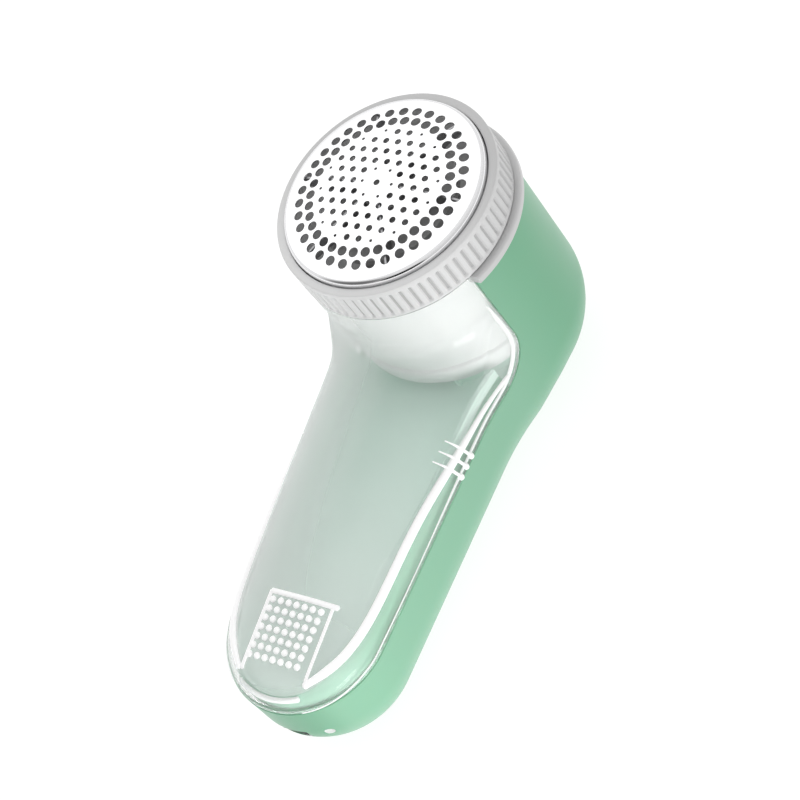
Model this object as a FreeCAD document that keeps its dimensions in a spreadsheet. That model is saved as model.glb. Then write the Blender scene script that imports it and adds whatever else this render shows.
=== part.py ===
import FreeCAD, Part
import math
import os

import Sketcher

# Rechargeable fabric shaver, in millimetres, lying on its flat back.
# +Z is the way the foil faces, +Y runs up the handle to the head, and the
# origin is under the middle of the whole shaver, on the surface it lies on.

DRIVING_SIZES = {
    # whole shaver
    "total_length": 150.0,
    "collar_radius": 31.2,
    "head_radius": 29.5,
    "handle_half_width": 22.6,
    "neck_radius": 70.0,
    # rear housing
    "housing_wall": 2.0,
    "housing_top": 60.6,
    "back_round_handle": 15.5,
    "back_round_head": 22.0,
    "seam_across": 30.9,
    "seam_level": 25.5,
    "seam_corner": 12.0,
    "seam_gap": 0.3,
    # front deck, chamber and collar
    "deck_thick": 2.0,
    "deck_boss_radius": 25.5,
    "chamber_floor_level": 30.5,
    "chamber_floor_thick": 1.8,
    "chamber_outer": 27.4,
    "chamber_inner": 25.5,
    "chamber_top": 72.2,
    "tower_outer": 14.2,
    "tower_inner": 12.4,
    "collar_thick": 2.7,
    "outlet_half_width": 8.5,
    # lint bin
    "bin_wall": 1.6,
    "bin_edge_round": 6.5,
    "bin_slope": 6.95,
    "bin_front_at_end": 31.23,
    "thumb_pad_width": 17.8,
    "thumb_pad_length": 20.2,
    "grip_rib_pitch": 2.9,
    # rim round the deck, under the bin
    "rim_gap": 0.45,
    "rim_thick": 1.0,
    "rim_top": 33.0,
    # foil and ring
    "foil_top": 78.6,
    "foil_sphere": 124.0,
    "foil_thick": 0.35,
    "foil_wall_radius": 27.1,
    "foil_shoulder": 1.4,
    "foil_flange_radius": 28.0,
    "foil_flange_level": 72.45,
    "outer_hole_circle": 22.2,
    "inner_hole_circle": 19.05,
    "ring_hole": 2.6,
    "lattice_pitch": 3.55,
    "lattice_hole": 1.7,
    "tiny_hole": 0.85,
    "ring_inner": 28.3,
    "ring_lip_inner": 27.45,
    "ring_groove_radius": 29.15,
    "ring_radius": 29.6,
    "ring_bottom": 63.7,
    "ring_top": 74.1,
    "ring_knurl_bottom": 64.6,
    "ring_knurl_top": 72.3,
    # motor and cutter
    "shaft_radius": 1.0,
    "motor_radius": 12.0,
    "motor_bottom": 13.0,
    "motor_top": 39.0,
    "motor_can_wall": 1.0,
    "blade_radius": 24.2,
    "blade_thick": 0.5,
    "blade_gap": 0.25,
    # battery and electrics
    "cell_radius": 7.0,
    "cell_length": 50.0,
    "cell_axis_level": 11.2,
    "board_thick": 1.2,
    "port_width": 9.0,
    "port_height": 3.2,
    "port_level": 11.6,
    # switch
    "switch_centre": 14.0,
    "switch_travel": 4.0,
    "screw_radius": 1.2,
}

KNURL_RIBS = 72
RING_HOLES = 36
BLADES = 6
FAN_VANES = 8
GRIP_RIBS = 3

doc = FreeCAD.newDocument("fabric_shaver")
sheet = doc.addObject("Spreadsheet::Sheet", "dims")
for row, (alias, number) in enumerate(DRIVING_SIZES.items(), start=1):
    sheet.set(f"A{row}", alias)
    sheet.set(f"B{row}", str(number))
    sheet.setAlias(f"B{row}", alias)
doc.recompute()


class Size:
    """A number together with the sheet expression that it comes from."""

    def __init__(self, number, text):
        self.number = number
        self.text = text

    def _join(self, other, sign, number):
        return Size(number, f"({self.text} {sign} {as_size(other).text})")

    def __add__(self, other):
        return self._join(other, "+", self.number + as_size(other).number)

    def __sub__(self, other):
        return self._join(other, "-", self.number - as_size(other).number)

    def __mul__(self, other):
        return self._join(other, "*", self.number * as_size(other).number)

    def __truediv__(self, other):
        return self._join(other, "/", self.number / as_size(other).number)

    def __neg__(self):
        return Size(-self.number, f"(0 - {self.text})")

    def __rsub__(self, other):
        return as_size(other) - self

    __radd__ = __add__
    __rmul__ = __mul__


def as_size(value):
    return value if isinstance(value, Size) else Size(float(value), repr(float(value)))


def dim(alias):
    """The sheet's cell of that name."""
    return Size(float(getattr(sheet, alias)), f"dims.{alias}")


def bind(item, path, value):
    """Set a property to a size, and bind it to the sheet."""
    size = as_size(value)
    if "." not in path:
        setattr(item, path, size.number)
    item.setExpression(path, size.text)


def place(item, x=0, y=0, z=0):
    for letter, value in zip("xyz", (x, y, z)):
        bind(item, f"Placement.Base.{letter}", value)
    return item


def turn(item, axis, degrees):
    item.Placement = FreeCAD.Placement(
        item.Placement.Base, FreeCAD.Rotation(FreeCAD.Vector(*axis), degrees))
    return item


# Places that several pieces share.
HEAD_Y = dim("total_length") / 2 - dim("collar_radius")
END_Y = dim("handle_half_width") - dim("total_length") / 2
DECK_TOP = dim("seam_level")
DECK_BOTTOM = DECK_TOP - dim("deck_thick")
FLOOR_TOP = dim("chamber_floor_level") + dim("chamber_floor_thick")
TOWER_TOP = dim("motor_top") + 1.8


# ---------------------------------------------------------------- helpers

def cylinder(label, radius, low, high, x=0, y=HEAD_Y):
    """An upright cylinder between two levels."""
    item = doc.addObject("Part::Cylinder", label)
    bind(item, "Radius", radius)
    bind(item, "Height", as_size(high) - low)
    return place(item, x, y, low)


def lying_cylinder(label, radius, length, x, y, z, axis=(1, 0, 0), degrees=90):
    """A cylinder turned from upright about an axis through its start point."""
    item = doc.addObject("Part::Cylinder", label)
    bind(item, "Radius", radius)
    bind(item, "Height", length)
    turn(item, axis, degrees)
    return place(item, x, y, z)


def block(label, low, high):
    """A box between two corners."""
    item = doc.addObject("Part::Box", label)
    for side, first, last in zip(("Length", "Width", "Height"), low, high):
        bind(item, side, as_size(last) - first)
    return place(item, *low)


def cut(label, base, *tools):
    item = doc.addObject("Part::Cut", label)
    item.Base = base
    item.Tool = tools[0] if len(tools) == 1 else group(label + "_tools", *tools)
    return item


def fuse(label, *pieces):
    item = doc.addObject("Part::MultiFuse", label)
    item.Shapes = list(pieces)
    item.Refine = True
    return item


def common(label, *pieces):
    item = doc.addObject("Part::MultiCommon", label)
    item.Shapes = list(pieces)
    return item


def group(label, *pieces):
    item = doc.addObject("Part::Compound", label)
    item.Links = list(pieces)
    return item


def tube(label, outer, inner, low, high, x=0, y=HEAD_Y):
    return cut(label, cylinder(label + "_outside", outer, low, high, x, y),
               cylinder(label + "_inside", inner, low, high, x, y))


def plane_of(body, role):
    return next(f for f in body.Origin.OriginFeatures if f.Role == role)


def new_body(label):
    return doc.addObject("PartDesign::Body", label)


def sketch_in(body, role, name, offset=None):
    sketch = body.newObject("Sketcher::SketchObject", name)
    sketch.AttachmentSupport = [(plane_of(body, role), "")]
    sketch.MapMode = "FlatFace"
    if offset is not None:
        bind(sketch, "AttachmentOffset.Base.z", offset)
    return sketch


def constrain(sketch, kind, *where, value=None):
    """Add a constraint, and bind it to the sheet when it has a size."""
    if value is None:
        return sketch.addConstraint(Sketcher.Constraint(kind, *where))
    size = as_size(value)
    index = sketch.addConstraint(Sketcher.Constraint(kind, *where, size.number))
    sketch.setExpression(f"Constraints[{index}]", size.text)
    return index


def polygon(sketch, corners):
    """A closed outline of straight lines, each corner held by its two sizes."""
    points = [FreeCAD.Vector(as_size(a).number, as_size(b).number, 0) for a, b in corners]
    count = len(points)
    for index in range(count):
        sketch.addGeometry(Part.LineSegment(points[index], points[(index + 1) % count]))
    for index, (a, b) in enumerate(corners):
        constrain(sketch, "Coincident", (index - 1) % count, 2, index, 1)
        constrain(sketch, "DistanceX", -1, 1, index, 1, value=a)
        constrain(sketch, "DistanceY", -1, 1, index, 1, value=b)


def turned(label, corners):
    """A piece turned about the head axis from an outline of (radius, level) corners."""
    body = new_body(label)
    place(body, y=HEAD_Y)
    sketch = sketch_in(body, "XZ_Plane", label + "_profile")
    polygon(sketch, corners)
    spin = body.newObject("PartDesign::Revolution", label + "_turning")
    spin.Profile = sketch
    spin.ReferenceAxis = (sketch, ["V_Axis"])
    spin.Angle = 360.0
    return body


def pad_between(body, sketch, name, length):
    pad = body.newObject("PartDesign::Pad", name)
    pad.Profile = sketch
    bind(pad, "Length", length)
    return pad


def arc_between(centre, radius, first, last):
    """An arc that runs anticlockwise between two angles, in degrees."""
    circle = Part.Circle(FreeCAD.Vector(*centre, 0), FreeCAD.Vector(0, 0, 1), radius)
    return Part.ArcOfCircle(circle, math.radians(first), math.radians(last))


def plan_prism(label, inset, low, high):
    """The shaver's plan outline, moved in by inset, between two levels.

    The head's arc and the handle's sides are joined by hollow neck arcs that
    are tangent to both, and the handle ends in a half circle."""
    head = dim("head_radius") - inset
    half = dim("handle_half_width") - inset
    neck = dim("neck_radius") + inset
    reach = half.number + neck.number
    drop = math.sqrt((head.number + neck.number) ** 2 - reach ** 2)
    lean = math.degrees(math.atan2(drop, reach))
    neck_y = HEAD_Y.number - drop

    body = new_body(label)
    sketch = sketch_in(body, "XY_Plane", label + "_outline", low)
    corner = FreeCAD.Vector
    sketch.addGeometry([
        arc_between((0, HEAD_Y.number), head.number, -lean, 180 + lean),
        arc_between((-reach, neck_y), neck.number, 0, lean),
        Part.LineSegment(corner(-half.number, neck_y, 0), corner(-half.number, END_Y.number, 0)),
        arc_between((0, END_Y.number), half.number, 180, 360),
        Part.LineSegment(corner(half.number, END_Y.number, 0), corner(half.number, neck_y, 0)),
        arc_between((reach, neck_y), neck.number, 180 - lean, 180),
    ])
    for first, first_end, second, second_end in (
            (0, 2, 1, 2), (1, 1, 2, 1), (2, 2, 3, 1), (3, 2, 4, 1), (4, 2, 5, 2), (5, 1, 0, 1)):
        constrain(sketch, "Tangent", first, first_end, second, second_end)
    constrain(sketch, "PointOnObject", 0, 3, -2)
    constrain(sketch, "PointOnObject", 3, 3, -2)
    constrain(sketch, "DistanceY", -1, 1, 0, 3, value=HEAD_Y)
    constrain(sketch, "DistanceY", -1, 1, 3, 3, value=END_Y)
    constrain(sketch, "Radius", 0, value=head)
    constrain(sketch, "Radius", 1, value=neck)
    constrain(sketch, "Radius", 5, value=neck)
    constrain(sketch, "Radius", 3, value=half)
    pad_between(body, sketch, label + "_pad", as_size(high) - low)
    return body


def side_prism(label, corners, half_width=40.0):
    """An outline of (y, z) corners, carried the same way to both sides."""
    body = new_body(label)
    sketch = sketch_in(body, "YZ_Plane", label + "_outline")
    polygon(sketch, corners)
    pad = pad_between(body, sketch, label + "_pad", 2 * half_width)
    pad.SideType = "Symmetric"
    return body


def seam_zone(label, gap, top):
    """The space in front of the seam: the bin's side of it, with the round corner."""
    across = dim("seam_across") - gap
    level = dim("seam_level") + gap
    radius = dim("seam_corner")
    low_end = -90.0
    body = new_body(label)
    sketch = sketch_in(body, "YZ_Plane", label + "_outline")
    corner = FreeCAD.Vector
    y, z, r, high = across.number, level.number, radius.number, as_size(top).number
    sketch.addGeometry([
        Part.LineSegment(corner(low_end, z, 0), corner(y - r, z, 0)),
        arc_between((y - r, z + r), r, 270, 360),
        Part.LineSegment(corner(y, z + r, 0), corner(y, high, 0)),
        Part.LineSegment(corner(y, high, 0), corner(low_end, high, 0)),
        Part.LineSegment(corner(low_end, high, 0), corner(low_end, z, 0)),
    ])
    constrain(sketch, "Tangent", 0, 2, 1, 1)
    constrain(sketch, "Tangent", 1, 2, 2, 1)
    constrain(sketch, "Coincident", 2, 2, 3, 1)
    constrain(sketch, "Coincident", 3, 2, 4, 1)
    constrain(sketch, "Coincident", 4, 2, 0, 1)
    for line, way in ((0, "Horizontal"), (2, "Vertical"), (3, "Horizontal"), (4, "Vertical")):
        constrain(sketch, way, line)
    constrain(sketch, "Radius", 1, value=radius)
    constrain(sketch, "DistanceY", -1, 1, 0, 1, value=level)
    constrain(sketch, "DistanceX", -1, 1, 2, 2, value=across)
    constrain(sketch, "DistanceY", -1, 1, 2, 2, value=top)
    constrain(sketch, "DistanceX", -1, 1, 4, 1, value=low_end)
    pad = pad_between(body, sketch, label + "_pad", 80)
    pad.SideType = "Symmetric"
    return body


def round_back(label, base, inset, level):
    """Round the prism's back edge: more at the head than along the handle."""
    doc.recompute()
    handle = (dim("back_round_handle") - inset).number
    head = (dim("back_round_head") - inset).number
    neck_start = HEAD_Y.number - dim("head_radius").number
    item = doc.addObject("Part::Fillet", label)
    item.Base = base
    # The edges are taken in turn round the outline, so the two necks change the
    # radius opposite ways.
    rounds = []
    for number, edge in enumerate(base.Shape.Edges, start=1):
        box = edge.BoundBox
        if box.ZMax > as_size(level).number + 0.01:
            continue
        if box.YMax > HEAD_Y.number + 1:
            rounds.append((number, head, head))
        elif box.YMax > neck_start:
            rounds.append((number, head, handle) if box.XMax < 0 else (number, handle, head))
        else:
            rounds.append((number, handle, handle))
    item.Edges = rounds
    return item


# ------------------------------------------------------- screws and their places

HOUSING_SCREWS = [(-11.5, -57.0), (11.5, -57.0), (-11.5, 8.0), (11.5, 8.0)]
CHAMBER_SCREW_ANGLES = (20, 90, 160)
CHAMBER_SCREW_RADIUS = 19.0
BOSS_SPLIT = 9.0
SCREW_HEAD_TOP = 3.6


def chamber_screw_places():
    for degrees in CHAMBER_SCREW_ANGLES:
        angle = math.radians(degrees)
        yield CHAMBER_SCREW_RADIUS * math.cos(angle), HEAD_Y + CHAMBER_SCREW_RADIUS * math.sin(angle)


def screw(label, x, y, low, tip, head_radius=2.1, head_thick=1.4):
    """A pan-head screw driven upwards, with a cross recess in its head."""
    head = cylinder(label + "_head", head_radius, low, as_size(low) + head_thick, x, y)
    shank = cylinder(label + "_shank", dim("screw_radius"), as_size(low) + head_thick, tip, x, y)
    slots = [block(f"{label}_slot_{way}",
                   (as_size(x) - across, as_size(y) - along, as_size(low)),
                   (as_size(x) + across, as_size(y) + along, as_size(low) + 0.7))
             for way, across, along in (("x", 1.3, 0.22), ("y", 0.22, 1.3))]
    return cut(label, fuse(label + "_blank", head, shank), *slots)


# ---------------------------------------------------------------- rear housing

def rear_housing():
    wall = dim("housing_wall")
    outside = round_back("housing_outside", plan_prism("housing_block", 0, 0, dim("housing_top")), 0, 0)
    cavity = round_back("housing_cavity",
                        plan_prism("cavity_block", wall, wall, dim("housing_top") + 5), wall, wall)
    shell = cut("housing_shell", outside, cavity, seam_zone("housing_opening", 0, dim("housing_top") + 9))
    bosses = [common("screw_boss_%d" % index,
                     cylinder("screw_boss_%d_post" % index, 3.4, 0.5, BOSS_SPLIT, x, y), outside)
              for index, (x, y) in enumerate(HOUSING_SCREWS, start=1)]
    seat = tube("motor_seat", 9.0, 7.0, 1.0, dim("motor_bottom") - 4)
    dish_floor = block("switch_plate", (-8, dim("switch_centre") - 10, 1.0),
                       (8, dim("switch_centre") + 10, 3.4))
    solid = fuse("housing_solid", shell, seat, dish_floor, *bosses)
    holes = []
    for index, (x, y) in enumerate(HOUSING_SCREWS, start=1):
        holes.append(cylinder(f"screw_way_{index}", dim("screw_radius") + 0.25, 0, 12, x, y))
        holes.append(cylinder(f"screw_sink_{index}", 2.5, -1, SCREW_HEAD_TOP, x, y))
    holes.append(block("switch_dish", (-6, dim("switch_centre") - 9, -1),
                       (6, dim("switch_centre") + 9, 1.8)))
    holes.append(block("switch_slot", (-2.4, dim("switch_centre") - 5.4, 0),
                       (2.4, dim("switch_centre") + 5.4, 6)))
    half_port = dim("port_width") / 2 + 0.25
    holes.append(block("port_hole", (-half_port, dim("total_length") / -2 - 1, dim("port_level") - 0.25),
                       (half_port, dim("total_length") / -2 + 5,
                        dim("port_level") + dim("port_height") + 0.25)))
    holes.append(lying_cylinder("light_hole", 1.3, 10, 10.5, -66.0, 14.4))
    return cut("rear_housing", solid, *holes)


# ---------------------------------------------------------------- front deck

def front_deck():
    """The flat panel that closes the rear housing and is the bin's inner wall."""
    plate = plan_prism("deck_plate", dim("housing_wall") + 0.05, DECK_BOTTOM, DECK_TOP)
    posts = [cylinder(f"deck_post_{index}", 3.2, BOSS_SPLIT, DECK_TOP - 0.5, x, y)
             for index, (x, y) in enumerate(HOUSING_SCREWS, start=1)]
    solid = fuse("deck_solid", plate, *posts)
    motor_way = cylinder("deck_motor_way", dim("motor_radius") + 0.3, DECK_BOTTOM - 1, DECK_TOP + 1)
    holes = [cylinder(f"deck_pilot_{index}", dim("screw_radius"), BOSS_SPLIT - 1, 16, x, y)
             for index, (x, y) in enumerate(HOUSING_SCREWS, start=1)]
    holes += [cylinder(f"deck_screw_way_{index}", dim("screw_radius") + 0.2,
                       DECK_BOTTOM - 1, DECK_TOP + 1, x, y)
              for index, (x, y) in enumerate(chamber_screw_places(), start=1)]
    return cut("front_deck", solid, motor_way, *holes)


def lint_duct():
    """The ring that carries the chamber on the deck, with the duct that lets lint into the bin."""
    boss = tube("deck_boss", dim("deck_boss_radius"), dim("deck_boss_radius") - 2,
                DECK_TOP, dim("chamber_floor_level"))
    duct_half = dim("outlet_half_width") + 0.5
    duct_wall = 1.2
    back = HEAD_Y - dim("motor_radius") - 1.9
    front = HEAD_Y - dim("deck_boss_radius") + 1.0
    top = dim("chamber_floor_level")
    walls = [block("duct_left", (-duct_half - duct_wall, front, DECK_TOP), (-duct_half, back, top)),
             block("duct_right", (duct_half, front, DECK_TOP), (duct_half + duct_wall, back, top)),
             block("duct_back", (-duct_half - duct_wall, back - duct_wall, DECK_TOP),
                   (duct_half + duct_wall, back, top))]
    solid = fuse("duct_solid", boss, *walls)
    mouth = block("duct_mouth", (-duct_half, front - 6, DECK_TOP - 1), (duct_half, front + 2, top + 1))
    return cut("lint_duct", solid, mouth)


# ---------------------------------------------------------------- chamber and collar

def cutter_chamber():
    """The white cup that the cutter spins in, with the motor's tower in its middle."""
    floor = dim("chamber_floor_level")
    outer, inner = dim("chamber_outer"), dim("chamber_inner")
    cup = turned("chamber_cup", [
        (3.3, dim("motor_top")), (dim("tower_inner"), dim("motor_top")),
        (dim("tower_inner"), floor), (outer, floor), (outer, dim("chamber_top")),
        (inner, dim("chamber_top")), (inner, FLOOR_TOP), (dim("tower_outer"), FLOOR_TOP),
        (dim("tower_outer"), TOWER_TOP), (3.3, TOWER_TOP)])
    posts = [cylinder(f"chamber_post_{index}", 2.8, DECK_TOP, floor + 0.5, x, y)
             for index, (x, y) in enumerate(chamber_screw_places(), start=1)]
    solid = fuse("chamber_solid", cup, *posts)
    half = dim("outlet_half_width")
    outlet = block("chamber_outlet", (-half, HEAD_Y - 24.0, floor - 1), (half, HEAD_Y - 15.6, FLOOR_TOP + 1))
    holes = [cylinder(f"chamber_pilot_{index}", dim("screw_radius"), DECK_TOP - 1, floor, x, y)
             for index, (x, y) in enumerate(chamber_screw_places(), start=1)]
    holes += [cylinder(f"tower_screw_way_{side}", 1.15, dim("motor_top") - 1, TOWER_TOP + 1, x=side * 8.0)
              for side in (-1, 1)]
    return cut("cutter_chamber", solid, outlet, *holes)


def head_collar():
    """The fixed grey flange on top of the housing, as far round as the seam."""
    low, high = dim("housing_top"), dim("housing_top") + dim("collar_thick")
    outer, inner = dim("collar_radius"), dim("chamber_outer")
    flange = turned("collar_flange", [
        (inner, low), (outer - 0.7, low), (outer, low + 0.7), (outer, high - 0.6),
        (outer - 0.6, high), (inner, high)])
    back_half = block("collar_back_half", (-40, dim("seam_across"), low - 1), (40, 80, high + 1))
    return common("head_collar", flange, back_half)


# ---------------------------------------------------------------- lint bin

COLUMN_GAP = 0.4
RIM_UNDER_FRONT = 3.2


def bin_envelope(label, inset):
    """The bin's solid shape, moved in by inset: a sloping slab and the head's skirt."""
    wall_top = dim("ring_bottom") - COLUMN_GAP
    low = dim("seam_level") - 4
    slope = math.tan(math.radians(dim("bin_slope").number))
    end_y = dim("total_length") / -2
    head_y = dim("seam_across") - dim("seam_gap")
    end_level = dim("bin_front_at_end") - inset
    outline = plan_prism(label + "_plan", inset, low, wall_top)
    rise = (head_y - end_y) * slope
    side = side_prism(label + "_side", [
        (end_y - 5, low - 1), (head_y, low - 1), (head_y, end_level + rise),
        (end_y - 5, end_level - 5 * slope)])
    slab = common(label + "_slab", outline, side)
    doc.recompute()
    rounded = doc.addObject("Part::Fillet", label + "_rounded")
    rounded.Base = slab
    radius = (dim("bin_edge_round") - inset).number
    rounded.Edges = [(number, radius, radius) for number, edge in enumerate(slab.Shape.Edges, start=1)
                     if on_sloping_edge(edge, end_level.number, end_y.number, head_y.number, slope)]
    skirt = common(label + "_skirt",
                   cylinder(label + "_column", dim("head_radius") - inset, low, wall_top + as_size(inset) * 2),
                   block(label + "_half", (-40, -20, low - 1), (40, head_y, wall_top + 9)))
    return fuse(label, rounded, skirt)


def on_sloping_edge(edge, end_level, end_y, head_y, slope):
    """Whether an edge lies all along the bin's sloping front, away from its cut end."""
    points = [edge.valueAt(edge.FirstParameter + part * (edge.LastParameter - edge.FirstParameter))
              for part in (0.0, 0.37, 1.0)]
    on_front = all(abs(point.z - end_level - (point.y - end_y) * slope) < 0.01 for point in points)
    on_cut = all(abs(point.y - head_y) < 0.01 for point in points)
    return on_front and not on_cut


def tilted_block(label, width, length, thick, y, sink):
    """A flat block let into the sloping front face, centred across the bin."""
    slope = dim("bin_slope").number
    surface = dim("bin_front_at_end") + (as_size(y) + dim("total_length") / 2) * math.tan(math.radians(slope))
    item = doc.addObject("Part::Box", label)
    bind(item, "Length", width)
    bind(item, "Width", length)
    bind(item, "Height", thick)
    turn(item, (1, 0, 0), slope)
    return place(item, as_size(width) / -2, y, surface - sink)


def lint_bin():
    zone = seam_zone("bin_zone", dim("seam_gap"), dim("housing_top") + 9)
    wall = dim("bin_wall")
    shell = cut("bin_shell", common("bin_outside_kept", bin_envelope("bin_outside", 0), zone),
                bin_envelope("bin_inside", wall))
    pad_y, pad_width, pad_length = -67.2, dim("thumb_pad_width"), dim("thumb_pad_length")
    frame_width, frame_rise = 1.2, 0.35
    frame = cut("pad_frame",
                tilted_block("pad_frame_block", pad_width, pad_length, 1.0, pad_y, 1.0 - frame_rise),
                tilted_block("pad_frame_gap", pad_width - frame_width * 2, pad_length - frame_width,
                             3.0, pad_y, 1.5))
    ribs = []
    for side in (-1, 1):
        for index in range(GRIP_RIBS):
            y = 2.0 - index * dim("grip_rib_pitch")
            far, near = side * 23.0, side * 21.6
            ribs.append(block(f"grip_rib_{index}_{'left' if side < 0 else 'right'}",
                              (min(far, near), y - 0.45, dim("seam_level") + 1.0),
                              (max(far, near), y + 0.45, 34.0)))
    return fuse("lint_bin", shell, frame, *ribs)


def tray_rim():
    """The raised rim round the deck, just inside the bin's wall as far as the neck."""
    inset = dim("bin_wall") + dim("rim_gap")
    wall = cut("rim_wall", bin_envelope("rim_outside", inset),
               bin_envelope("rim_inside", inset + dim("rim_thick")))
    end_y, neck_y = dim("total_length") / -2, 22.0
    slope = math.tan(math.radians(dim("bin_slope").number))
    top = dim("rim_top")
    end_top = dim("bin_front_at_end") - RIM_UNDER_FRONT
    bend_y = end_y + (top - end_top) / slope
    zone = side_prism("rim_zone", [(end_y - 5, DECK_TOP), (neck_y, DECK_TOP), (neck_y, top),
                                   (bend_y, top), (end_y - 5, end_top - 5 * slope)])
    round_chamber = cylinder("rim_clear", dim("chamber_outer") + 1, DECK_TOP - 1, top + 1)
    return cut("tray_rim", common("rim_solid", wall, zone), round_chamber)


# ---------------------------------------------------------------- foil and ring

def foil_screen():
    """The domed steel screen: a spherical cap with a turned-down rim, and its holes."""
    body = new_body("foil_screen")
    place(body, y=HEAD_Y)
    sketch = sketch_in(body, "XZ_Plane", "foil_profile")
    top, sphere, thick = dim("foil_top").number, dim("foil_sphere").number, dim("foil_thick").number
    wall, round_ = dim("foil_wall_radius").number, dim("foil_shoulder").number
    flange_top = dim("foil_flange_level").number + thick
    centre_z = top - sphere
    shoulder_r = wall - round_
    shoulder_z = centre_z + math.sqrt((sphere - round_) ** 2 - shoulder_r ** 2)
    lean = math.degrees(math.atan2(shoulder_z - centre_z, shoulder_r))
    flange_r, flange_low = dim("foil_flange_radius").number, dim("foil_flange_level").number
    corner = FreeCAD.Vector
    sketch.addGeometry([
        arc_between((0, centre_z), sphere, lean, 90),
        arc_between((shoulder_r, shoulder_z), round_, 0, lean),
        Part.LineSegment(corner(wall, shoulder_z, 0), corner(wall, flange_top, 0)),
        Part.LineSegment(corner(wall, flange_top, 0), corner(flange_r, flange_top, 0)),
        Part.LineSegment(corner(flange_r, flange_top, 0), corner(flange_r, flange_low, 0)),
        Part.LineSegment(corner(flange_r, flange_low, 0), corner(wall - thick, flange_low, 0)),
        Part.LineSegment(corner(wall - thick, flange_low, 0), corner(wall - thick, shoulder_z, 0)),
        arc_between((shoulder_r, shoulder_z), round_ - thick, 0, lean),
        arc_between((0, centre_z), sphere - thick, lean, 90),
        Part.LineSegment(corner(0, top - thick, 0), corner(0, top, 0)),
    ])
    for first, first_end, second, second_end in (
            (0, 1, 1, 2), (1, 1, 2, 1), (6, 2, 7, 1), (7, 2, 8, 1)):
        constrain(sketch, "Tangent", first, first_end, second, second_end)
    for first, first_end, second, second_end in (
            (2, 2, 3, 1), (3, 2, 4, 1), (4, 2, 5, 1), (5, 2, 6, 1), (8, 2, 9, 1), (9, 2, 0, 2),
            (0, 3, 8, 3), (1, 3, 7, 3)):
        constrain(sketch, "Coincident", first, first_end, second, second_end)
    constrain(sketch, "PointOnObject", 0, 3, -2)
    constrain(sketch, "PointOnObject", 9, 1, -2)
    constrain(sketch, "PointOnObject", 9, 2, -2)
    for line in (3, 5):
        constrain(sketch, "Horizontal", line)
    constrain(sketch, "Vertical", 4)
    constrain(sketch, "Radius", 0, value=dim("foil_sphere"))
    constrain(sketch, "Radius", 8, value=dim("foil_sphere") - dim("foil_thick"))
    constrain(sketch, "Radius", 1, value=dim("foil_shoulder"))
    constrain(sketch, "DistanceY", -1, 1, 9, 2, value=dim("foil_top"))
    constrain(sketch, "DistanceX", -1, 1, 2, 1, value=dim("foil_wall_radius"))
    constrain(sketch, "DistanceX", -1, 1, 3, 2, value=dim("foil_flange_radius"))
    constrain(sketch, "DistanceY", -1, 1, 5, 1, value=dim("foil_flange_level"))
    constrain(sketch, "DistanceY", -1, 1, 3, 1, value=dim("foil_flange_level") + dim("foil_thick"))
    spin = body.newObject("PartDesign::Revolution", "foil_turning")
    spin.Profile = sketch
    spin.ReferenceAxis = (sketch, ["V_Axis"])
    spin.Angle = 360.0
    doc.recompute()
    for name, radius, phase in (("outer_holes", dim("outer_hole_circle"), RING_PHASE),
                                ("inner_holes", dim("inner_hole_circle"), RING_PHASE + 5.0)):
        hole_ring(body, name, radius, phase)
    lattice_pocket(body)
    return body


RING_PHASE = 2.4
LATTICE_TURN = 2.0


def hole_pocket(body, name, holes):
    """Cut round holes, given as (x, y, diameter), up through the foil."""
    sketch = sketch_in(body, "XY_Plane", name + "_sketch", dim("foil_flange_level") + 1.5)
    for index, (x, y, across) in enumerate(holes):
        sketch.addGeometry(Part.Circle(FreeCAD.Vector(x.number, y.number, 0),
                                       FreeCAD.Vector(0, 0, 1), across.number / 2))
        constrain(sketch, "DistanceX", -1, 1, index, 3, value=x)
        constrain(sketch, "DistanceY", -1, 1, index, 3, value=y)
        constrain(sketch, "Radius", index, value=across / 2)
    pocket = body.newObject("PartDesign::Pocket", name)
    pocket.Profile = sketch
    bind(pocket, "Length", 8.0)
    pocket.Reversed = True
    return pocket


def hole_ring(body, name, radius, phase):
    angle = math.radians(phase)
    seed = hole_pocket(body, name, [(radius * math.cos(angle), radius * math.sin(angle), dim("ring_hole"))])
    pattern = body.newObject("PartDesign::PolarPattern", name + "_pattern")
    pattern.Originals = [seed]
    pattern.Axis = (seed.Profile[0], ["N_Axis"])
    pattern.Angle = 360.0
    pattern.Occurrences = RING_HOLES
    body.Tip = pattern
    doc.recompute()


def lattice_pocket(body):
    """Holes on a triangular lattice: plain ones in shells 2 to 4, and tiny ones
    at both ends of the field, round the centre hole and along its outer sides."""
    pitch, turn_by = dim("lattice_pitch"), math.radians(LATTICE_TURN)
    holes = [(as_size(0), as_size(0), dim("lattice_hole"))]
    for first in range(-5, 6):
        for second in range(-5, 6):
            shell = max(abs(first), abs(second), abs(first + second))
            if not 1 <= shell <= 5 or abs(first + second) > 5:
                continue
            steps_in = min(abs(first), abs(second), abs(first + second))
            across, out = dim("lattice_hole"), 1.0
            if shell == 1:
                across, out = dim("tiny_hole"), 1.22
            elif shell == 5 and steps_in == 0:
                continue
            elif shell == 5 and steps_in == 1:
                across = dim("tiny_hole")
            a, b = (first + second / 2) * out, second * math.sqrt(3) / 2 * out
            x = a * math.cos(turn_by) - b * math.sin(turn_by)
            y = a * math.sin(turn_by) + b * math.cos(turn_by)
            holes.append((pitch * x, pitch * y, across))
    pocket = hole_pocket(body, "lattice_holes", holes)
    body.Tip = pocket


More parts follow.
